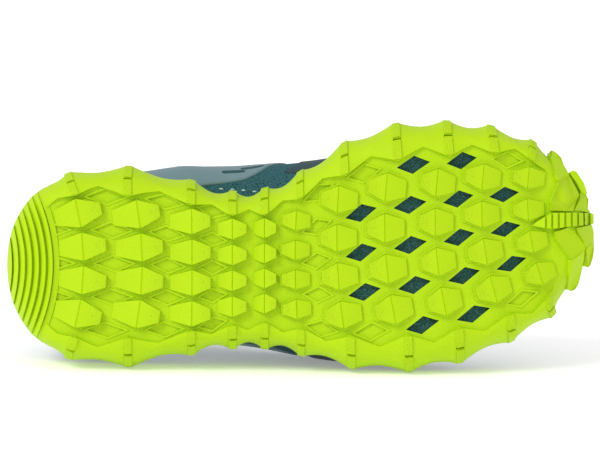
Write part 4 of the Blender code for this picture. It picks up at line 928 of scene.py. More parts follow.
def handles(side):
    """The four control points of every ray on one side."""
    pick = side * np.arange(TOE_POINT + 1) % COUNT
    foot, outward = foot_plan[pick], -INWARD[pick]
    run = np.concatenate([[0], np.cumsum(np.linalg.norm(np.diff(foot, axis=0), axis=1))])
    run /= run[-1]
    made = []
    for along, top_x, half, high, low, swell, reach, drop in fine_rays:
        start = np.array([np.interp(along, run, foot[:, 0]), np.interp(along, run, foot[:, 1])])
        out = np.array([np.interp(along, run, outward[:, 0]), np.interp(along, run, outward[:, 1])])
        out = np.append(out / np.linalg.norm(out), 0)
        low_end = np.append(start, lip_height(start[0]) + GAP)
        x = top_x * SOLE_LENGTH
        high_end = np.array([x, np.interp(x, axis[:, 0], axis[:, 1]) + side * half * OPENING_WIDTH / 2,
                             high * COLLAR_HEIGHT])
        rise = high_end[2] - low_end[2]
        up = np.array([0, 0, rise])
        arch = ARCH_SWELL * arch_share(start[0]) if side < 0 else 0.0
        made.append((low_end, low_end + up * low + out * (swell * rise + arch),
                     high_end - up * drop + out * (reach * rise + 0.5 * arch), high_end))
    return np.array(made)


RAYS_OF = {side: handles(side) for side in (1, -1)}
RING = 2 * len(ALONG) - 2
SHARES = np.concatenate([ALONG, ALONG[-2:0:-1]])
LEVELS = np.linspace(0, 1, LEVEL_STEPS + 1)


def skin_line(side, s):
    a, b, c, d = (RAYS_OF[side][:, k] for k in range(4))
    r = 1 - s
    return r**3 * a + 3 * r * r * s * b + 3 * r * s * s * c + s**3 * d


SKIN = np.array([np.concatenate([skin_line(1, s), skin_line(-1, s)[-2:0:-1]]) for s in LEVELS])
round_way = np.roll(SKIN, -1, axis=1) - np.roll(SKIN, 1, axis=1)
up_way = np.gradient(SKIN, axis=0)
NORMAL = np.cross(up_way, round_way)
NORMAL /= np.linalg.norm(NORMAL, axis=2)[:, :, None]
RAY_LENGTH = np.linalg.norm(np.diff(SKIN, axis=0), axis=2).sum(0)
ROUND_RUN = np.concatenate([[0], np.cumsum(np.linalg.norm(np.diff(SKIN[LEVEL_STEPS // 3], axis=0), axis=1))])


def ray_index(side, along):
    nearest = int(np.abs(ALONG - along).argmin())
    return nearest if side > 0 else -nearest % RING


def on_skin(k, level, out=0.0):
    """A point off the skin at a ray, which may lie between two, and a level."""
    low_k = int(math.floor(k))
    t = k - low_k
    step = min(max(level, 0.0), 1.0) * LEVEL_STEPS
    row = min(int(step), LEVEL_STEPS - 1)
    u = step - row
    def read(grid):
        a, b = grid[row, low_k % RING], grid[row + 1, low_k % RING]
        c, d = grid[row, (low_k + 1) % RING], grid[row + 1, (low_k + 1) % RING]
        return (a * (1 - u) + b * u) * (1 - t) + (c * (1 - u) + d * u) * t
    normal = read(NORMAL)
    return read(SKIN) + normal / np.linalg.norm(normal) * out


def padding(level):
    round_collar = np.clip((0.52 - SHARES) / 0.12, 0, 1)
    full = ease(level, 0.50, 0.80) * (1 - 0.45 * np.clip((level - 0.84) / 0.16, 0, 1))
    return WALL + (COLLAR_PADDING - WALL) * round_collar * full


print("skin", SKIN.shape, "longest ray", round(float(RAY_LENGTH.max()), 3))

# %% [markdown]
# Worn-in creases are put in one by one, in the shoe's own sizes. Three shallow troughs cross the vamp
# where the foot bends, two run down the quarter under the collar, and the collar's padding swells.

# %% Creases and padding
Crease = namedtuple("Crease", "side along level run rise depth tilt")
CREASES = (
    Crease(1, 0.66, 0.60, 0.016, 0.20, -0.0007, 0.10), Crease(1, 0.72, 0.66, 0.014, 0.20, -0.0009, 0.08),
    Crease(1, 0.78, 0.70, 0.013, 0.18, -0.0006, 0.05), Crease(-1, 0.665, 0.62, 0.016, 0.20, -0.0007, 0.10),
    Crease(-1, 0.725, 0.68, 0.014, 0.20, -0.0009, 0.07), Crease(-1, 0.785, 0.70, 0.013, 0.18, -0.0006, 0.05),
    Crease(1, 0.30, 0.58, 0.020, 0.16, -0.0006, -0.15), Crease(-1, 0.30, 0.58, 0.020, 0.16, -0.0006, -0.15),
    Crease(1, 0.20, 0.52, 0.030, 0.10, 0.0005, 0.0), Crease(-1, 0.20, 0.52, 0.030, 0.10, 0.0005, 0.0),
    Crease(-1, 0.355, 0.36, 0.080, 0.26, 0.0030, 0.0), Crease(-1, 0.585, 0.33, 0.055, 0.26, -0.0062, 0.0),
    Crease(-1, 0.660, 0.33, 0.060, 0.26, -0.0035, 0.0),
)
sides = np.where(np.arange(RING) < len(ALONG), 1, -1)
relief = np.zeros((LEVEL_STEPS + 1, RING))
for row, level in enumerate(LEVELS):
    for crease in CREASES:
        off = SHARES - crease.along - crease.tilt * (level - crease.level)
        relief[row] += (sides == crease.side) * crease.depth * np.exp(-(off / crease.run) ** 2 - ((level - crease.level) / crease.rise) ** 2)
    collar_swell = np.clip((0.50 - SHARES) / 0.12, 0, 1) * math.exp(-(((level - 0.86) / 0.09) ** 2))
    relief[row] += 0.0011 * collar_swell - 0.0008 * np.clip((0.50 - SHARES) / 0.12, 0, 1) * math.exp(-(((level - 0.70) / 0.03) ** 2))
SKIN = SKIN + NORMAL * relief[:, :, None]
print("creases", len(CREASES), "deepest", round(float(relief.min()) * 1000, 2), "mm")

# %% [markdown]
# The upper is lofted from these rings, round the collar's edge and down its lining inside. Its UV
# map is in metres, once round and up the rays, so that the mesh keeps its size everywhere.


# %% Upper
def add_uv(mesh, where):
    """A UV map in metres from a table of vertex positions' own (run, rise)."""
    layer = mesh.uv_layers.new(name="cloth")
    flat = np.zeros((len(mesh.loops), 2), dtype=np.float32)
    for loop in mesh.loops:
        flat[loop.index] = where[loop.vertex_index]
    layer.data.foreach_set("uv", flat.ravel())


def grid_mesh(name, rings, wrap_rings, coordinates, closed=True):
    """A mesh from rings of points, with one UV pair for each point."""
    points = [tuple(p) for ring in rings for p in ring]
    n, m = len(rings[0]), len(rings)
    faces = []
    for r in range(m if wrap_rings else m - 1):
        for k in range(n if closed else n - 1):
            a, b = r * n + k, r * n + (k + 1) % n
            c, d = ((r + 1) % m) * n + (k + 1) % n, ((r + 1) % m) * n + k
            faces.append((a, b, c, d))
    mesh = bpy.data.meshes.new(name)
    mesh.from_pydata(points, [], faces)
    add_uv(mesh, [uv for ring in coordinates for uv in ring])
    made = bpy.data.objects.new(name, mesh)
    COLLECTION.objects.link(made)
    return made


def turn_outwards(piece):
    select_only(piece)
    bpy.ops.object.mode_set(mode="EDIT")
    bpy.ops.mesh.select_all(action="SELECT")
    bpy.ops.mesh.remove_doubles(threshold=0.000005)
    bpy.ops.mesh.normals_make_consistent(inside=False)
    bpy.ops.object.mode_set(mode="OBJECT")


def foot_ring(inside):
    outward = NORMAL[0].copy()
    outward[:, 2] = 0
    plan = SKIN[0] - outward / np.linalg.norm(outward, axis=1)[:, None] * inside
    plan[:, 2] = footbed(SKIN[0][:, 0]) + 2 * GAP
    return plan


outer = [foot_ring(0.0), *SKIN]
inner = [foot_ring(WALL)] + [SKIN[r] - NORMAL[r] * padding(level)[:, None] for r, level in enumerate(LEVELS)]
rim_way = SKIN[-1] - SKIN[-2]
rim_way /= np.linalg.norm(rim_way, axis=1)[:, None]
thick = padding(1.0)[:, None]
rim = []
for turn in (0.25, 0.5, 0.75):
    inward_share = 0.5 - 0.5 * math.cos(math.pi * turn)
    rim.append(SKIN[-1] * (1 - inward_share) + inner[-1] * inward_share + rim_way * thick * 0.5 * math.sin(math.pi * turn))
run = ROUND_RUN
rises = [np.full(RING, -0.01)] + [level * RAY_LENGTH for level in LEVELS]
rises += [RAY_LENGTH + 0.002 * (i + 1) for i in range(3)]
rises += [2 * RAY_LENGTH + 0.01 - level * RAY_LENGTH for level in LEVELS[::-1]] + [2 * RAY_LENGTH + 0.02]
coordinates = [np.column_stack([run, rise]) for rise in rises]
upper = grid_mesh("upper_mesh", [*outer, *rim, *inner[::-1]], True, coordinates)
turn_outwards(upper)
print("upper", len(upper.data.polygons), "faces")

# %% [markdown]
# Films are bonded over the mesh: toe cap, heel counter, eyestay and a midfoot panel on each side.
# Each is a thin slab cut from the upper's own skin, with its edge pressed down and rounded.

# %% Films
STAY_START, STAY_WIDTH, STAY_TOP = 0.47, 0.0150, 0.985
PANEL_START, PANEL_END = 0.235, 0.66
PANEL_TOP, PANEL_TIP, PANEL_MARGIN = 0.74, 0.10, 0.0012
PANEL_ALONG = (0.235, 0.340, 0.365, 0.390, 0.420, 0.450, 0.480, 0.520, 0.560, 0.600, 0.660)
PANEL_LOW = (0.03, 0.10, 0.15, 0.185, 0.21, 0.265, 0.33, 0.385, 0.45, 0.53, 0.66)
FILM_SINK, FILM_EDGE = 0.0004, 0.0006


def film(name, first, last, span, thickness=OVERLAY):
    """A slab over the skin between two rays, with a lower and an upper level for each."""
    ks = np.arange(first, last + 1e-6, 0.5)
    ks = np.concatenate([[ks[0], ks[0] + 0.12], ks[1:-1], [ks[-1] - 0.12, ks[-1]]])
    top_grid, low_grid, uvs = [], [], []
    for place, k in enumerate(ks):
        low, high = span(k)
        length = RAY_LENGTH[int(round(k)) % RING]
        edge = FILM_EDGE / length
        levels = np.concatenate([[low, low + edge], np.linspace(low + 2 * edge, high - 2 * edge, 26), [high - edge, high]])
        ends = place in (0, len(ks) - 1)
        heights = [thickness * (0.45 if ends or n in (0, len(levels) - 1) else 1.0) for n in range(len(levels))]
        top_grid.append([on_skin(k, level, h) for level, h in zip(levels, heights)])
        low_grid.append([on_skin(k, level, -FILM_SINK) for level in levels])
        uvs.append([(np.interp(k % RING, np.arange(RING), ROUND_RUN), level * length) for level in levels])
    points = [p for grid in (top_grid, low_grid) for ring in grid for p in ring]
    n, m = len(top_grid[0]), len(top_grid)
    faces = []
    for r in range(m - 1):
        for c in range(n - 1):
            a, b, d, e = r * n + c, (r + 1) * n + c, (r + 1) * n + c + 1, r * n + c + 1
            faces += [(a, b, d, e), (a + m * n, e + m * n, d + m * n, b + m * n)]
    border = [(r, 0) for r in range(m)] + [(m - 1, c) for c in range(1, n)]
    border += [(r, n - 1) for r in range(m - 2, -1, -1)] + [(0, c) for c in range(n - 2, 0, -1)]
    ids = [r * n + c for r, c in border]
    for a, b in zip(ids, ids[1:] + ids[:1]):
        faces.append((a, a + m * n, b + m * n, b))
    mesh = bpy.data.meshes.new(name)
    mesh.from_pydata([tuple(p) for p in points], [], faces)
    add_uv(mesh, [uv for _ in (0, 1) for ring in uvs for uv in ring])
    made = bpy.data.objects.new(name, mesh)
    COLLECTION.objects.link(made)
    select_only(made)
    bpy.ops.object.mode_set(mode="EDIT")
    bpy.ops.mesh.select_all(action="SELECT")
    bpy.ops.mesh.normals_make_consistent(inside=False)
    bpy.ops.object.mode_set(mode="OBJECT")
    return made


def share_at(k):
    return float(np.interp(k % RING, np.arange(RING + 1), np.append(SHARES, SHARES[0])))


def length_at(k):
    return float(np.interp(k % RING, np.arange(RING + 1), np.append(RAY_LENGTH, RAY_LENGTH[0])))


def panel_span(k):
    along = share_at(k)
    top = 1 - (STAY_WIDTH + PANEL_MARGIN) / length_at(k)
    top = min(top, PANEL_TOP) if along < STAY_START else top
    return min(float(np.interp(along, PANEL_ALONG, PANEL_LOW)), float(top) - PANEL_TIP), float(top)


toe_ray = len(ALONG) - 1
cap = toe_ray - ray_index(1, 0.80)
back = ray_index(1, 0.18)
stay = toe_ray - ray_index(1, STAY_START)
films = {
    "toe_cap": film("toe_cap_film", toe_ray - cap, toe_ray + cap, lambda k: (
        FOOT_LEVEL, float(0.20 + 0.30 * ease(share_at(k), 0.80, 1.0)))),
    "heel_counter": film("heel_counter_film", -back, back, lambda k: (
        FOOT_LEVEL, float(0.46 + 0.24 * (1 - ease(share_at(k), 0.0, 0.18))))),
    "eyestay": film("eyestay_film", toe_ray - stay, toe_ray + stay, lambda k: (1 - STAY_WIDTH / length_at(k), STAY_TOP)),
    "panel_lateral": film("panel_lateral_film", ray_index(1, PANEL_START), ray_index(1, PANEL_END), panel_span),
    "panel_medial": film("panel_medial_film", RING - ray_index(1, PANEL_END), RING - ray_index(1, PANEL_START), panel_span),
}
print("films", {name: len(piece.data.polygons) for name, piece in films.items()})

# %% [markdown]
# A dark wrap starts as a point beside the arch, as at the photograph's upper edge, and widens
# forwards to run under the toe cap. It is thinner than the other films, so that the cap covers it.

# %% Forefoot wraps
WRAP_THICKNESS = 0.0006
WRAP_ALONG = (0.480, 0.500, 0.512, 0.530, 0.560, 0.600, 0.640, 0.700, 0.760, 0.820)
WRAP_LOW = (0.172, 0.125, 0.090) + (FOOT_LEVEL,) * 7
WRAP_HIGH = (0.197, 0.215, 0.240, 0.290, 0.350, 0.400, 0.430, 0.370, 0.290, 0.220)


def wrap_span(k):
    along = share_at(k)
    return float(np.interp(along, WRAP_ALONG, WRAP_LOW)), float(np.interp(along, WRAP_ALONG, WRAP_HIGH))


wrap_first, wrap_last = ray_index(1, WRAP_ALONG[0]), ray_index(1, WRAP_ALONG[-1])
wraps = [film("wrap_lateral", wrap_first, wrap_last, wrap_span, WRAP_THICKNESS),
         film("wrap_medial", RING - wrap_last, RING - wrap_first, wrap_span, WRAP_THICKNESS)]
print("wraps", [len(piece.data.polygons) for piece in wraps])

# %% [markdown]
# Both midfoot panels have slots cut through the film, so that the darker mesh shows in them. The
# photograph shows two on the inner side, side by side along the waist.

# %% Slots in the panels
SLOT_HALF_LENGTH, SLOT_HALF_WIDTH = 0.0060, 0.00150
PanelSlot = namedtuple("PanelSlot", "along level")
PANEL_SLOTS = (PanelSlot(0.412, 0.296), PanelSlot(0.449, 0.336), PanelSlot(0.486, 0.410), PanelSlot(0.521, 0.485))


def cut_slots(piece, side):
    bm = bmesh.new()
    for slot in PANEL_SLOTS:
        k = float(np.interp(slot.along, ALONG, np.arange(len(ALONG))))
        k = k if side > 0 else RING - k
        centre = on_skin(k, slot.level)
        ahead = on_skin(k + side, slot.level) - centre
        ahead /= np.linalg.norm(ahead)
        up = on_skin(k, slot.level + 0.02) - centre
        out = np.cross(ahead, up)
        out /= np.linalg.norm(out)
        up = np.cross(out, ahead)
        plan = []
        for turn in np.linspace(0, 2 * math.pi, 20, endpoint=False):
            c, s = math.cos(turn), math.sin(turn)
            plan.append(ahead * (c * SLOT_HALF_WIDTH + math.copysign(SLOT_HALF_LENGTH - SLOT_HALF_WIDTH, c))
                        + up * s * SLOT_HALF_WIDTH)
        prism(bm, [centre + p - out * 0.004 for p in plan], [centre + p + out * 0.004 for p in plan])
    cut_out(piece, mesh_of(bm, "slot_cutter"))


cut_slots(films["panel_lateral"], 1)
cut_slots(films["panel_medial"], -1)
print("slots", 2 * len(PANEL_SLOTS), "faces", [len(films[f"panel_{side}"].data.polygons) for side in ("lateral", "medial")])

# %% [markdown]
# Eyelets are punched through film and mesh, and each has a small pressed ring. The holes are a
# Boolean too; the rings are toruses turned to stand square on the skin.

# %% Eyelets
EYELET_PAIRS, EYELET_DIAMETER, EYELET_INSET = 6, 0.0046, 0.0085
EYELET_START, EYELET_END = 0.52, 0.90
eyelet_pairs = []
for along in np.linspace(EYELET_START, EYELET_END, EYELET_PAIRS):
    ends = [ray_index(side, along) for side in (1, -1)]
    eyelet_pairs.append([(k, 1 - EYELET_INSET / RAY_LENGTH[k]) for k in ends])


def square_on(k, level, out):
    here = Vector(on_skin(k, level, out))
    away = Vector(on_skin(k, level, out + 0.001)) - here
    return Matrix.Translation(here) @ away.to_track_quat("Z", "Y").to_matrix().to_4x4()


def punch(piece):
    bm = bmesh.new()
    for pair in eyelet_pairs:
        for k, level in pair:
            bmesh.ops.create_cone(bm, cap_ends=True, segments=20, radius1=EYELET_DIAMETER / 2,
                                  radius2=EYELET_DIAMETER / 2, depth=0.012, matrix=square_on(k, level, 0.0))
    cutter = mesh_of(bm, "eyelet_cutter")
    cut = piece.modifiers.new("eyelets", "BOOLEAN")
    cut.operation, cut.solver, cut.object = "DIFFERENCE", "EXACT", cutter
    apply_modifiers(piece)
    bpy.data.objects.remove(cutter)


punch(films["eyestay"])
punch(upper)
rings = []
for pair in eyelet_pairs:
    for k, level in pair:
        bpy.ops.object.select_all(action="DESELECT")
        bpy.ops.mesh.primitive_torus_add(major_segments=28, minor_segments=8, major_radius=EYELET_DIAMETER / 2 + 0.0003,
                                         minor_radius=0.00055)
        bpy.context.object.data.transform(square_on(k, level, OVERLAY))
        rings.append(bpy.context.object)
select_only(*rings)
bpy.ops.object.join()
eyelet_rings = bpy.context.object
eyelet_rings.name = "eyelet_rings"
print("eyelets", len(rings))

# %% [markdown]
# Stitches are short rounded rods, bent into the cloth at both ends. One is a low cylinder with its
# ends pulled down; rows of copies follow paths on the skin: round the collar, beside the eyelets,
# above the toe cap and along the seam where the upper enters the sole. The seam's stitches are
# pale as a painted highlight: their colour stands for glints on the sewing.

# %% Stitches
STITCH_RADIUS, STITCH_LENGTH, STITCH_PITCH = 0.00030, 0.0022, 0.0032


def stitch_row(bm, path, outs, pitch=STITCH_PITCH, length=STITCH_LENGTH, radius=STITCH_RADIUS):
    """Stitches along a path of (ray, level) pairs, that far off the skin."""
    points = np.array([on_skin(k, level, outs) for k, level in path])
    aways = np.array([on_skin(k, level, outs + 0.001) for k, level in path]) - points
    run = np.concatenate([[0], np.cumsum(np.linalg.norm(np.diff(points, axis=0), axis=1))])
    for start in np.arange(pitch / 2, run[-1] - length, pitch):
        rows = []
        for share, dip in ((0.0, -1.3), (0.12, 0.1), (0.5, 0.55), (0.88, 0.1), (1.0, -1.3)):
            where = start + share * length
            centre = np.array([np.interp(where, run, points[:, a]) for a in range(3)])
            away = np.array([np.interp(where, run, aways[:, a]) for a in range(3)])
            away /= np.linalg.norm(away)
            forward = np.array([np.interp(where + 1e-4, run, points[:, a]) - np.interp(where - 1e-4, run, points[:, a])
                                for a in range(3)])
            forward /= max(np.linalg.norm(forward), 1e-9)
            side = np.cross(forward, away)
            size = radius * (0.7 if share in (0.0, 1.0) else 1.0)
            rows.append([centre + away * dip * radius + size * (math.cos(t) * side + math.sin(t) * away)
                         for t in np.linspace(0, 2 * math.pi, 6, endpoint=False)])
        closed_strip(bm, rows)


def level_row(first, last, level_of, step=0.5):
    return [(k, level_of(k)) for k in np.arange(first, last + 1e-6, step)]


dark_rows = bmesh.new()
collar_last = ray_index(1, 0.47)
stitch_row(dark_rows, level_row(-collar_last, collar_last, lambda k: 1 - 0.011 / length_at(k)), 0.0007)
stitch_row(dark_rows, level_row(-collar_last, collar_last, lambda k: 0.705), 0.0)
for inset in (0.0018, STAY_WIDTH - 0.0016):
    stitch_row(dark_rows, level_row(toe_ray - stay + 1, toe_ray + stay - 1, lambda k: 1 - inset / length_at(k)), OVERLAY)
for side in (1, -1):
    first, last = (ray_index(1, PANEL_START) + 0.6, ray_index(1, PANEL_END) - 0.6)
    first, last = (first, last) if side > 0 else (RING - last, RING - first)
    stitch_row(dark_rows, level_row(first, last, lambda k: panel_span(k)[1] - 0.0016 / length_at(k)), OVERLAY)
stitch_row(dark_rows, level_row(toe_ray - cap + 0.6, toe_ray + cap - 0.6,
                                lambda k: float(0.20 + 0.30 * ease(share_at(k), 0.80, 1.0)) - 0.0018 / length_at(k)), OVERLAY)
stitch_row(dark_rows, level_row(-back + 0.6, back - 0.6,
                                lambda k: float(0.46 + 0.24 * (1 - ease(share_at(k), 0.0, 0.18))) - 0.0018 / length_at(k)), OVERLAY)
stitches = mesh_of(dark_rows, "stitches", 1e-7)
# Seam stitches in a pale colour that is a painted highlight, standing for glints on the sewing.
painted_glint_rows = bmesh.new()
stitch_row(painted_glint_rows, level_row(0, RING, lambda k: 0.028), 0.0, pitch=0.0042, length=0.0026, radius=0.00034)
ARCH_ALONG, ARCH_LEVEL = (0.36, 0.40, 0.45, 0.47), (0.120, 0.130, 0.072, 0.060)
stitch_row(painted_glint_rows, level_row(RING - ray_index(1, 0.47), RING - ray_index(1, 0.36), lambda k: float(
    np.interp(share_at(k), ARCH_ALONG, ARCH_LEVEL))), 0.0, pitch=0.0056, length=0.0021, radius=0.00036)
edge_stitches = mesh_of(painted_glint_rows, "edge_stitches", 1e-7)
print("stitches", len(stitches.data.polygons), "+", len(edge_stitches.data.polygons), "faces")

# %% [markdown]
# The tongue is padded: sections run from under the vamp to a free end that stands over the collar.
# Its outer face swells between two stitched channels, and its edge is bound.

# %% Tongue
TONGUE_THICKNESS, TONGUE_RISE, TONGUE_CROWN = 0.0045, 0.0200, 0.0005
TONGUE_TIP, TONGUE_TURN, TONGUE_ACROSS = 0.93, 0.53, 21
TONGUE_LEVELS = (0.84, 0.94, 1.00)
TONGUE_ROOT, TONGUE_DIP = (0.003, 0.006, 0.009, 0.012), np.array([0.0, 0.0, -0.20])
sections = []
for k in np.arange(ray_index(1, TONGUE_TIP), ray_index(1, TONGUE_TURN) - 0.1, -1):
    pair = []
    for off in (2 * GAP, 2 * GAP + TONGUE_THICKNESS):
        flanks = []
        for ray in (int(k), -int(k) % RING):
            flanks.append([on_skin(ray, level, -float(padding(level)[ray]) - off) for level in TONGUE_LEVELS])
        centre = (SKIN[-1][int(k)] + SKIN[-1][-int(k) % RING]) / 2
        centre = centre + [0, 0, TONGUE_CROWN - off]
        curve = hermite([*flanks[0], centre, *flanks[1][::-1]], False, np.arange(4) / 4)
        pair.append(curve)
    sections.append(pair)
first_pair, next_pair, last_pair = sections[0], sections[1], sections[-1]
centre = last_pair[0][len(last_pair[0]) // 2]
halfway = len(first_pair[0]) // 2
ahead = first_pair[0][halfway] - next_pair[0][halfway]
ahead = ahead / np.linalg.norm(ahead) + TONGUE_DIP
for reach in TONGUE_ROOT:
    sections.insert(0, [curve + ahead * reach for curve in first_pair])
for share in np.linspace(0.08, 1.0, 14):
    narrow = float(np.interp(share, (0, 0.3, 0.85, 1.0), (1.0, 0.60, 0.66, 0.50)))
    shift = np.array([-0.62, 0.0, 0.78]) * TONGUE_RISE * share
    sections.append([(curve - centre) * narrow + centre + shift for curve in last_pair])
tongue_rings, coordinates = [], []
travel = 0.0
for number, (outer_curve, inner_curve) in enumerate(sections):
    width = len(outer_curve)
    across = np.linspace(-1, 1, width)
    thick = outer_curve - inner_curve
    thick /= np.linalg.norm(thick, axis=1)[:, None]
    ends = min(number, len(sections) - 1 - number)
    swell = 0.0009 * np.exp(-((np.abs(across) - 0.0) / 0.34) ** 2) + 0.0004 * np.exp(-((np.abs(across) - 0.62) / 0.16) ** 2)
    outer_side = outer_curve + thick * (swell * min(1.0, ends / 4))[:, None]
    pinch = 1.0 if ends > 1 else 0.55 + 0.2 * ends
    middle_curve = (outer_side + inner_curve) / 2
    outer_side = middle_curve + (outer_side - middle_curve) * pinch
    inner_side = middle_curve + (inner_curve - middle_curve) * pinch
    bulge = (middle_curve[0] - middle_curve[1]) * 0.25, (middle_curve[-1] - middle_curve[-2]) * 0.25
    ring = [middle_curve[0] + bulge[0], *outer_side, middle_curve[-1] + bulge[1], *inner_side[::-1]]
    if number:
        travel += float(np.linalg.norm(outer_side[width // 2] - tongue_rings[-1][width // 2 + 1]))
    tongue_rings.append(ring)
    rim = np.concatenate([[0], np.cumsum(np.linalg.norm(np.diff(ring, axis=0), axis=1))])
    coordinates.append([(u, travel) for u in rim])
tongue = grid_mesh("tongue_pad", tongue_rings, False, coordinates)
select_only(tongue)
bpy.ops.object.mode_set(mode="EDIT")
bpy.ops.mesh.select_all(action="DESELECT")
bpy.ops.mesh.select_non_manifold()
bpy.ops.mesh.edge_face_add()
bpy.ops.object.mode_set(mode="OBJECT")
turn_outwards(tongue)
print("tongue", len(tongue.data.polygons), "faces,", round(travel, 3), "m long")

# %% [markdown]
# The lace is one braided cord. It lies as a bar across the lowest pair, goes down through both
# eyelets, and crosses over the tongue: under each edge, up through the next eyelet and over. Both
# ends stop in the top eyelets, because the photograph shows no bow.

# %% Laces
LACE_WIDTH, LACE_THICKNESS, LACE_STEP = 0.0040, 0.0021, 0.0011


def lace_path(first_side):
    """Points of one half of the lace from the bar's middle up to its end."""
    over, under = OVERLAY + LACE_THICKNESS / 2 + 0.0002, -WALL - LACE_THICKNESS / 2
    def rim(pair, side, out, past=0.0):
        k, level = eyelet_pairs[pair][side]
        return on_skin(k, 1.0 - past / RAY_LENGTH[k], out)
    def crown(a, b, lift):
        (ka, _), (kb, _) = eyelet_pairs[a][0], eyelet_pairs[b][1]
        middle = (SKIN[-1][ka] + SKIN[-1][kb]) / 2
        return middle + np.array([-0.35, 0, 0.94]) * lift
    side = first_side
    bottom = EYELET_PAIRS - 1
    k, level = eyelet_pairs[bottom][side]
    points = [crown(bottom, bottom, 0.0040), rim(bottom, side, over + 0.0004), on_skin(k, level + 0.012, over),
              on_skin(k, level, 0.0006), on_skin(k, level + 0.01, under)]
    for pair in range(bottom - 1, -1, -1):
        lift = 0.0047 if side == 0 else 0.0068
        start = rim(pair + 1, side, under + 0.0006 if pair == bottom - 1 else over + 0.0004)
        points += [start, crown(pair + (1 if side == 0 else 0), pair + (0 if side == 0 else 1), lift)]
        side = 1 - side
        k, level = eyelet_pairs[pair][side]
        points += [rim(pair, side, under + 0.0009), on_skin(k, level + 0.012, under), on_skin(k, level, -0.0006)]
        if pair:
            points += [on_skin(k, level - 0.006, over + 0.0003), on_skin(k, level + 0.018, over + 0.0006)]
        else:
            points += [on_skin(k, level - 0.004, over)]
    return np.array(points)


def ribbon(name, path):
    """An oval cord along a path, with its UV running along it in metres."""
    fine = hermite(path, False, np.arange(6) / 6)
    keep = [fine[0]]
    for p in fine[1:]:
        if np.linalg.norm(p - keep[-1]) > LACE_STEP * 0.6:
            keep.append(p)
    line = np.array(keep)
    tangent = np.gradient(line, axis=0)
    tangent /= np.linalg.norm(tangent, axis=1)[:, None]
    rings, coordinates, travel = [], [], 0.0
    up = np.array([0.0, 0.0, 1.0])
    for number, (point, ahead) in enumerate(zip(line, tangent)):
        up = up - ahead * up.dot(ahead)
        up /= np.linalg.norm(up)
        side = np.cross(ahead, up)
        turns = np.linspace(0, 2 * math.pi, 12, endpoint=False)
        rings.append([point + side * math.cos(t) * LACE_WIDTH / 2 + up * math.sin(t) * LACE_THICKNESS / 2 for t in turns])
        travel += float(np.linalg.norm(point - line[max(number - 1, 0)]))
        coordinates.append([(t * 0.0015, travel) for t in turns])
    made = grid_mesh(name, rings, False, coordinates)
    select_only(made)
    bpy.ops.object.mode_set(mode="EDIT")
    bpy.ops.mesh.select_all(action="DESELECT")
    bpy.ops.mesh.select_non_manifold()
    bpy.ops.mesh.edge_face_add()
    bpy.ops.object.mode_set(mode="OBJECT")
    turn_outwards(made)
    return made, travel


lace_halves = [ribbon(f"lace_{side}", lace_path(side)) for side in (0, 1)]
select_only(*[half for half, _ in lace_halves])
bpy.ops.object.join()
laces = bpy.context.object
laces.name = "braided_lace"
print("lace", round(sum(length for _, length in lace_halves), 3), "m in the eyelets")

# %% [markdown]
# The pull loop is a folded webbing sewn to the heel. The insole is a thin pressed footbed with a
# raised rim; both come from the same sole and skin.

# %% Pull loop and insole
LOOP_WIDTH, LOOP_DEPTH, LOOP_THICKNESS, LOOP_LOW, LOOP_HIGH = 0.0120, 0.0080, 0.0014, 0.74, 0.93
levels = np.linspace(LOOP_LOW, LOOP_HIGH, 5)
near = [on_skin(0, level, GAP + LOOP_THICKNESS / 2) for level in levels]
bulge = [GAP + LOOP_THICKNESS * 1.6 + LOOP_DEPTH * math.sin(math.pi * share) ** 0.6 for share in np.linspace(0.10, 0.90, 5)]
far = [on_skin(0, level, out) for level, out in zip(levels, bulge)]
path = hermite(near + far[::-1], True, np.arange(6) / 6)
rings, coordinates, travel = [], [], 0.0
for number, point in enumerate(path):
    forward = path[(number + 1) % len(path)] - path[number - 1]
    out = np.cross(forward / np.linalg.norm(forward), (0, 1, 0)) * LOOP_THICKNESS / 2
    ring, uv = [], []
    for place in np.linspace(-1, 1, 9):
        ring.append(point + out * (1 - 0.45 * abs(place) ** 6) + np.array([0, place * LOOP_WIDTH / 2, 0]))
        uv.append((place * LOOP_WIDTH / 2, travel))
    for place in np.linspace(1, -1, 9):
        ring.append(point - out * (1 - 0.45 * abs(place) ** 6) + np.array([0, place * LOOP_WIDTH / 2, 0]))
        uv.append((place * LOOP_WIDTH / 2, travel))
    rings.append(ring)
    coordinates.append(uv)
    travel += float(np.linalg.norm(path[(number + 1) % len(path)] - point))
loop = grid_mesh("webbing_loop", rings, True, coordinates)
turn_outwards(loop)

INSOLE_THICKNESS = 0.0045
REACH_IN = np.linalg.norm(SPINE - OUTLINE, axis=1)


def above_midsole(inset, above):
    edge = CUP_INSET + GAP
    share = np.clip((inset - edge) / (REACH_IN - edge), 0, 1)
    ends = [footbed(plan[:, 0]) for plan in (at(edge), SPINE)]
    return np.column_stack([at(np.minimum(inset, REACH_IN)), ends[0] * (1 - share) + ends[1] * share + above])


inset = CUP_INSET + WALL + 4 * GAP + WAIST_EASE
rim_share = np.clip((0.60 - OUTLINE[:, 0] / SOLE_LENGTH) / 0.35, 0, 1)
insole_rings = [above_midsole(REACH_IN, GAP), above_midsole(inset + INSOLE_THICKNESS / 3, GAP),
                above_midsole(inset, GAP + INSOLE_THICKNESS / 3),
                above_midsole(inset, GAP + INSOLE_THICKNESS * (1 + 0.55 * rim_share)),
                above_midsole(inset + 0.0010, GAP + INSOLE_THICKNESS * (1 + 0.6 * rim_share))]
for share in (0.0, 0.15, 0.35, 0.6, 0.8, 1.0):
    start = inset + INSOLE_THICKNESS
    dish = GAP + INSOLE_THICKNESS * (1 + 0.10 * rim_share * (1 - share))
    insole_rings.append(above_midsole(start + share * (REACH_IN - start), dish))
coordinates = [[(p[0], p[1]) for p in ring] for ring in insole_rings]
insole = grid_mesh("pressed_insole", insole_rings, False, coordinates)
turn_outwards(insole)
print("loop", len(loop.data.polygons), "faces, insole", len(insole.data.polygons), "faces")

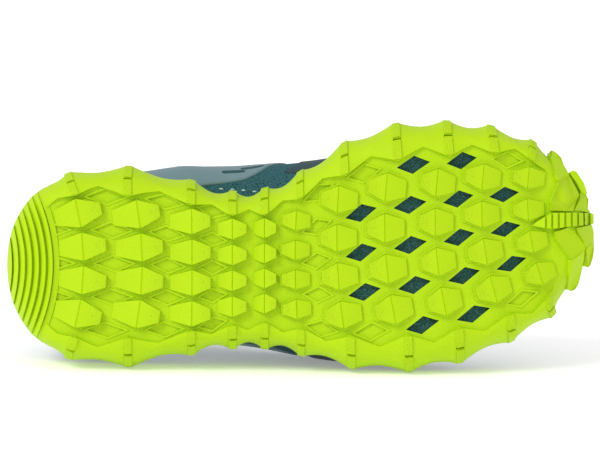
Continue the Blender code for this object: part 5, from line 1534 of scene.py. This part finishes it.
# %% [markdown]
# The cloth of the upper is an open knit: rows of small holes over a heather of darker and lighter
# yarn. It is drawn on the UV map in metres, as a node group, so that the lining uses it too.

# %% Knit, weave and braid as node groups
knit_group, knit_in, knit_out = group_of(
    "open_knit", [("Holes Per Metre", "NodeSocketFloat", 520.0), ("Hole Size", "NodeSocketFloat", 0.22)],
    [("Hole", "NodeSocketFloat"), ("Yarn", "NodeSocketFloat"), ("Height", "NodeSocketFloat")])
link = knit_group.links.new
cloth_map = node(knit_group, "ShaderNodeUVMap", uv_map="cloth")
scaled = node(knit_group, "ShaderNodeVectorMath", operation="SCALE")
cells = node(knit_group, "ShaderNodeTexVoronoi", feature="F1")
cells.inputs["Scale"].default_value = 1.0
cells.inputs["Randomness"].default_value = 0.50
hole = node(knit_group, "ShaderNodeMath", operation="LESS_THAN")
soft = node(knit_group, "ShaderNodeMath", operation="SMOOTH_MIN")
soft.inputs[1].default_value = 0.42
soft.inputs[2].default_value = 0.15
yarn = node(knit_group, "ShaderNodeTexNoise")
yarn.inputs["Scale"].default_value = 1700.0
yarn.inputs["Detail"].default_value = 2.0
link(cloth_map.outputs["UV"], scaled.inputs[0])
link(knit_in.outputs["Holes Per Metre"], scaled.inputs["Scale"])
link(scaled.outputs[0], cells.inputs["Vector"])
link(cells.outputs["Distance"], hole.inputs[0])
link(knit_in.outputs["Hole Size"], hole.inputs[1])
link(cells.outputs["Distance"], soft.inputs[0])
link(cloth_map.outputs["UV"], yarn.inputs["Vector"])
link(hole.outputs[0], knit_out.inputs["Hole"])
link(yarn.outputs["Fac"], knit_out.inputs["Yarn"])
link(soft.outputs[0], knit_out.inputs["Height"])

weave_group, weave_in, weave_out = group_of(
    "plain_weave", [("Threads Per Metre", "NodeSocketFloat", 1500.0), ("Slant", "NodeSocketFloat", 0.0)],
    [("Height", "NodeSocketFloat")])
link = weave_group.links.new
cloth_map = node(weave_group, "ShaderNodeUVMap", uv_map="cloth")
turned = node(weave_group, "ShaderNodeVectorRotate", rotation_type="Z_AXIS")
scaled = node(weave_group, "ShaderNodeVectorMath", operation="SCALE")
split = node(weave_group, "ShaderNodeSeparateXYZ")
sines = [node(weave_group, "ShaderNodeMath", operation="SINE") for _ in (0, 1)]
crossed = node(weave_group, "ShaderNodeMath", operation="MULTIPLY")
link(cloth_map.outputs["UV"], turned.inputs["Vector"])
link(weave_in.outputs["Slant"], turned.inputs["Angle"])
link(turned.outputs[0], scaled.inputs[0])
link(weave_in.outputs["Threads Per Metre"], scaled.inputs["Scale"])
link(scaled.outputs[0], split.inputs[0])
link(split.outputs["X"], sines[0].inputs[0])
link(split.outputs["Y"], sines[1].inputs[0])
link(sines[0].outputs[0], crossed.inputs[0])
link(sines[1].outputs[0], crossed.inputs[1])
link(crossed.outputs[0], weave_out.inputs["Height"])
print("node groups", knit_group.name, weave_group.name)


# %% Cloth, film and cord materials
def add_bump(tree, shader, height, distance, strength=1.0):
    bump = node(tree, "ShaderNodeBump")
    bump.inputs["Distance"].default_value = distance
    bump.inputs["Strength"].default_value = strength
    tree.links.new(height, bump.inputs["Height"])
    tree.links.new(bump.outputs["Normal"], shader.inputs["Normal"])


def knit_material(name, dark, light, holes, hole_size, hole_colour, roughness=0.85):
    made, tree, shader = new_material(name, roughness, 0.10)
    knit = node(tree, "ShaderNodeGroup", node_tree=knit_group)
    knit.inputs["Holes Per Metre"].default_value = holes
    knit.inputs["Hole Size"].default_value = hole_size
    ramp = node(tree, "ShaderNodeMapRange")
    ramp.inputs["From Min"].default_value = 0.42
    ramp.inputs["From Max"].default_value = 0.58
    tree.links.new(knit.outputs["Yarn"], ramp.inputs["Value"])
    body = blend_colours(tree, ramp.outputs[0], dark, light)
    mix = blend_colours(tree, knit.outputs["Hole"], dark, hole_colour)
    tree.links.new(body.outputs[2], mix.inputs[6])
    tree.links.new(mix.outputs[2], shader.inputs["Base Color"])
    add_bump(tree, shader, knit.outputs["Height"], 0.0004)
    shader.inputs["Sheen Weight"].default_value = 0.03
    return made


def film_material(name, colour, light, roughness, coat):
    made, tree, shader = new_material(name, roughness, 0.35)
    shader.inputs["Coat Weight"].default_value = coat
    shader.inputs["Coat Roughness"].default_value = 0.3
    speckle = node(tree, "ShaderNodeGroup", node_tree=speckle_group)
    speckle.inputs["Size"].default_value = 1500.0
    speckle.inputs["Contrast"].default_value = 1.0
    mix = blend_colours(tree, speckle.outputs["Mottle"], colour, light)
    tree.links.new(mix.outputs[2], shader.inputs["Base Color"])
    add_bump(tree, shader, speckle.outputs["Height"], 0.00006)
    return made


def woven_material(name, colour, light, threads, slant, depth, roughness=0.8):
    made, tree, shader = new_material(name, roughness, 0.3)
    weave = node(tree, "ShaderNodeGroup", node_tree=weave_group)
    weave.inputs["Threads Per Metre"].default_value = threads
    weave.inputs["Slant"].default_value = slant
    ramp = node(tree, "ShaderNodeMapRange")
    ramp.inputs["From Min"].default_value = -1.0
    tree.links.new(weave.outputs["Height"], ramp.inputs["Value"])
    mix = blend_colours(tree, ramp.outputs[0], colour, light)
    tree.links.new(mix.outputs[2], shader.inputs["Base Color"])
    add_bump(tree, shader, weave.outputs["Height"], depth)
    return made


TEAL_DARK, TEAL, TEAL_LIGHT = (0.006, 0.030, 0.036), (0.011, 0.056, 0.066), (0.046, 0.142, 0.158)
GREY_BLUE, GREY_BLUE_LIGHT = (0.118, 0.198, 0.220), (0.144, 0.232, 0.256)
mesh_cloth = knit_material("vamp_mesh", TEAL, TEAL_LIGHT, 560.0, 0.24, TEAL_DARK)
lining_cloth = knit_material("lining_knit", (0.018, 0.050, 0.054), (0.045, 0.110, 0.118), 900.0, 0.18, TEAL_DARK)
panel_film = film_material("panel_film", GREY_BLUE, GREY_BLUE_LIGHT, 0.48, 0.10)
rand_film = film_material("rand_film", (0.010, 0.034, 0.040), (0.018, 0.054, 0.062), 0.60, 0.04)
webbing = woven_material("loop_webbing", (0.30, 0.50, 0.02), (0.48, 0.74, 0.03), 4200.0, 0.0, 0.00012)
lace_braid = woven_material("lace_braid", (0.36, 0.56, 0.02), (0.55, 0.82, 0.03), 3600.0, 0.785, 0.00018)
footbed_cloth = woven_material("footbed_cloth", (0.050, 0.130, 0.140), (0.095, 0.210, 0.220), 2600.0, 0.785, 0.00012, 0.9)
thread_dark = woven_material("thread", (0.05, 0.12, 0.13), (0.10, 0.20, 0.21), 5000.0, 0.785, 0.00004)
# This pale thread colour is a painted highlight for the glints on the seam's stitches.
glint_painted_thread = woven_material("thread_painted_glint", (0.45, 0.60, 0.56), (0.62, 0.76, 0.70), 5000.0, 0.785, 0.00004)
eyelet_metal = film_material("eyelet_coating", (0.008, 0.020, 0.022), (0.016, 0.034, 0.036), 0.38, 0.3)

foam, tree, shader = new_material("midsole_textile", 0.8, 0.3)
place = node(tree, "ShaderNodeTexCoord")
threads = [node(tree, "ShaderNodeTexWave", wave_type="BANDS", bands_direction=way) for way in ("X", "Z")]
crossing = node(tree, "ShaderNodeMath", operation="MULTIPLY")
fleck = node(tree, "ShaderNodeTexNoise")
fleck.inputs["Scale"].default_value = 1500.0
for wave in threads:
    wave.inputs["Scale"].default_value = 420.0
    wave.inputs["Distortion"].default_value = 0.6
    tree.links.new(place.outputs["Object"], wave.inputs["Vector"])
tree.links.new(place.outputs["Object"], fleck.inputs["Vector"])
tree.links.new(threads[0].outputs["Fac"], crossing.inputs[0])
tree.links.new(threads[1].outputs["Fac"], crossing.inputs[1])
ramp = node(tree, "ShaderNodeMapRange")
ramp.inputs["From Min"].default_value = 0.45
ramp.inputs["From Max"].default_value = 0.72
tree.links.new(fleck.outputs["Fac"], ramp.inputs["Value"])
mix = blend_colours(tree, ramp.outputs[0], (0.013, 0.058, 0.064), (0.060, 0.185, 0.195))
tree.links.new(mix.outputs[2], shader.inputs["Base Color"])
add_bump(tree, shader, crossing.outputs[0], 0.00012)
print("materials", len(bpy.data.materials))

# %% [markdown]
# Each piece is now turned into the lying pose, takes its material, and stands for the solid that it
# was drawn from. The upper keeps its own cloth outside and the lining knit inside.

# %% Placing the pieces
for piece in (upper, *films.values(), *wraps, stitches, edge_stitches, eyelet_rings, tongue, laces, loop, insole):
    lay_down(piece)
finish_piece(upper, mesh_cloth, "upper", 60)
upper.data.materials.append(lining_cloth)
layer = upper.data.uv_layers["cloth"].data
for face in upper.data.polygons:
    rise = sum(layer[i].uv[1] for i in face.loop_indices) / face.loop_total
    turn_over = float(np.interp(layer[face.loop_indices[0]].uv[0] % ROUND_RUN[-1], ROUND_RUN, RAY_LENGTH))
    face.material_index = 1 if rise > turn_over - 0.004 * (turn_over > 0) else 0
for name, piece in films.items():
    is_rand = name in ("toe_cap", "heel_counter")
    finish_piece(piece, rand_film if is_rand else panel_film, name, 50)
for piece in wraps:
    finish_piece(piece, rand_film, None, 50)
finish_piece(stitches, thread_dark, None, 60)
finish_piece(edge_stitches, glint_painted_thread, None, 60)
finish_piece(eyelet_rings, eyelet_metal, None, 60)
finish_piece(tongue, lining_cloth, "tongue", 70)
finish_piece(laces, lace_braid, "laces", 70)
finish_piece(loop, webbing, "pull_loop", 50)
finish_piece(insole, footbed_cloth, "insole", 50)
midsole = frame["nodes"]["midsole"]
midsole.data.materials.clear()
midsole.data.materials.append(foam)

# %% [markdown]
# The photograph is a cut-out on white with soft light from the upper left. A pale floor, an even
# white sky that shows pure white to the camera, and one broad sun give the same shading. The floor
# glows a little, as a light table does, so that the shadow on it stays faint.

# %% Light and floor
floor_mesh = bpy.data.meshes.new("floor")
floor_mesh.from_pydata([(-30, -30, -0.0002), (30, -30, -0.0002), (30, 30, -0.0002), (-30, 30, -0.0002)], [], [(0, 1, 2, 3)])
floor = bpy.data.objects.new("floor", floor_mesh)
COLLECTION.objects.link(floor)
SKY, SKY_SEEN, SUN, TABLE_GLOW = 0.80, 1.05, 1.35, 0.26
paper, tree, shader = new_material("paper_floor", 0.95, 0.05)
shader.inputs["Base Color"].default_value = (0.95, 0.95, 0.95, 1.0)
shader.inputs["Emission Color"].default_value = (1.0, 1.0, 1.0, 1.0)
shader.inputs["Emission Strength"].default_value = TABLE_GLOW
floor.data.materials.append(paper)
studio = bpy.data.worlds.new("studio")
bpy.context.scene.world = studio
studio.use_nodes = True
background = studio.node_tree.nodes["Background"]
background.inputs["Color"].default_value = (1.0, 1.0, 1.0, 1.0)
seen = node(studio.node_tree, "ShaderNodeLightPath")
strength = node(studio.node_tree, "ShaderNodeMath", operation="MULTIPLY_ADD")
strength.inputs[1].default_value = SKY_SEEN - SKY
strength.inputs[2].default_value = SKY
studio.node_tree.links.new(seen.outputs["Is Camera Ray"], strength.inputs[0])
studio.node_tree.links.new(strength.outputs[0], background.inputs["Strength"])
sun_data = bpy.data.lights.new("sun", "SUN")
sun_data.energy, sun_data.angle = SUN, math.radians(24)
sun = bpy.data.objects.new("sun", sun_data)
COLLECTION.objects.link(sun)
sun.rotation_euler = Vector((0.56, 0.62, -0.68)).to_track_quat("-Z", "Y").to_euler()
bpy.context.scene.view_settings.view_transform = "Standard"
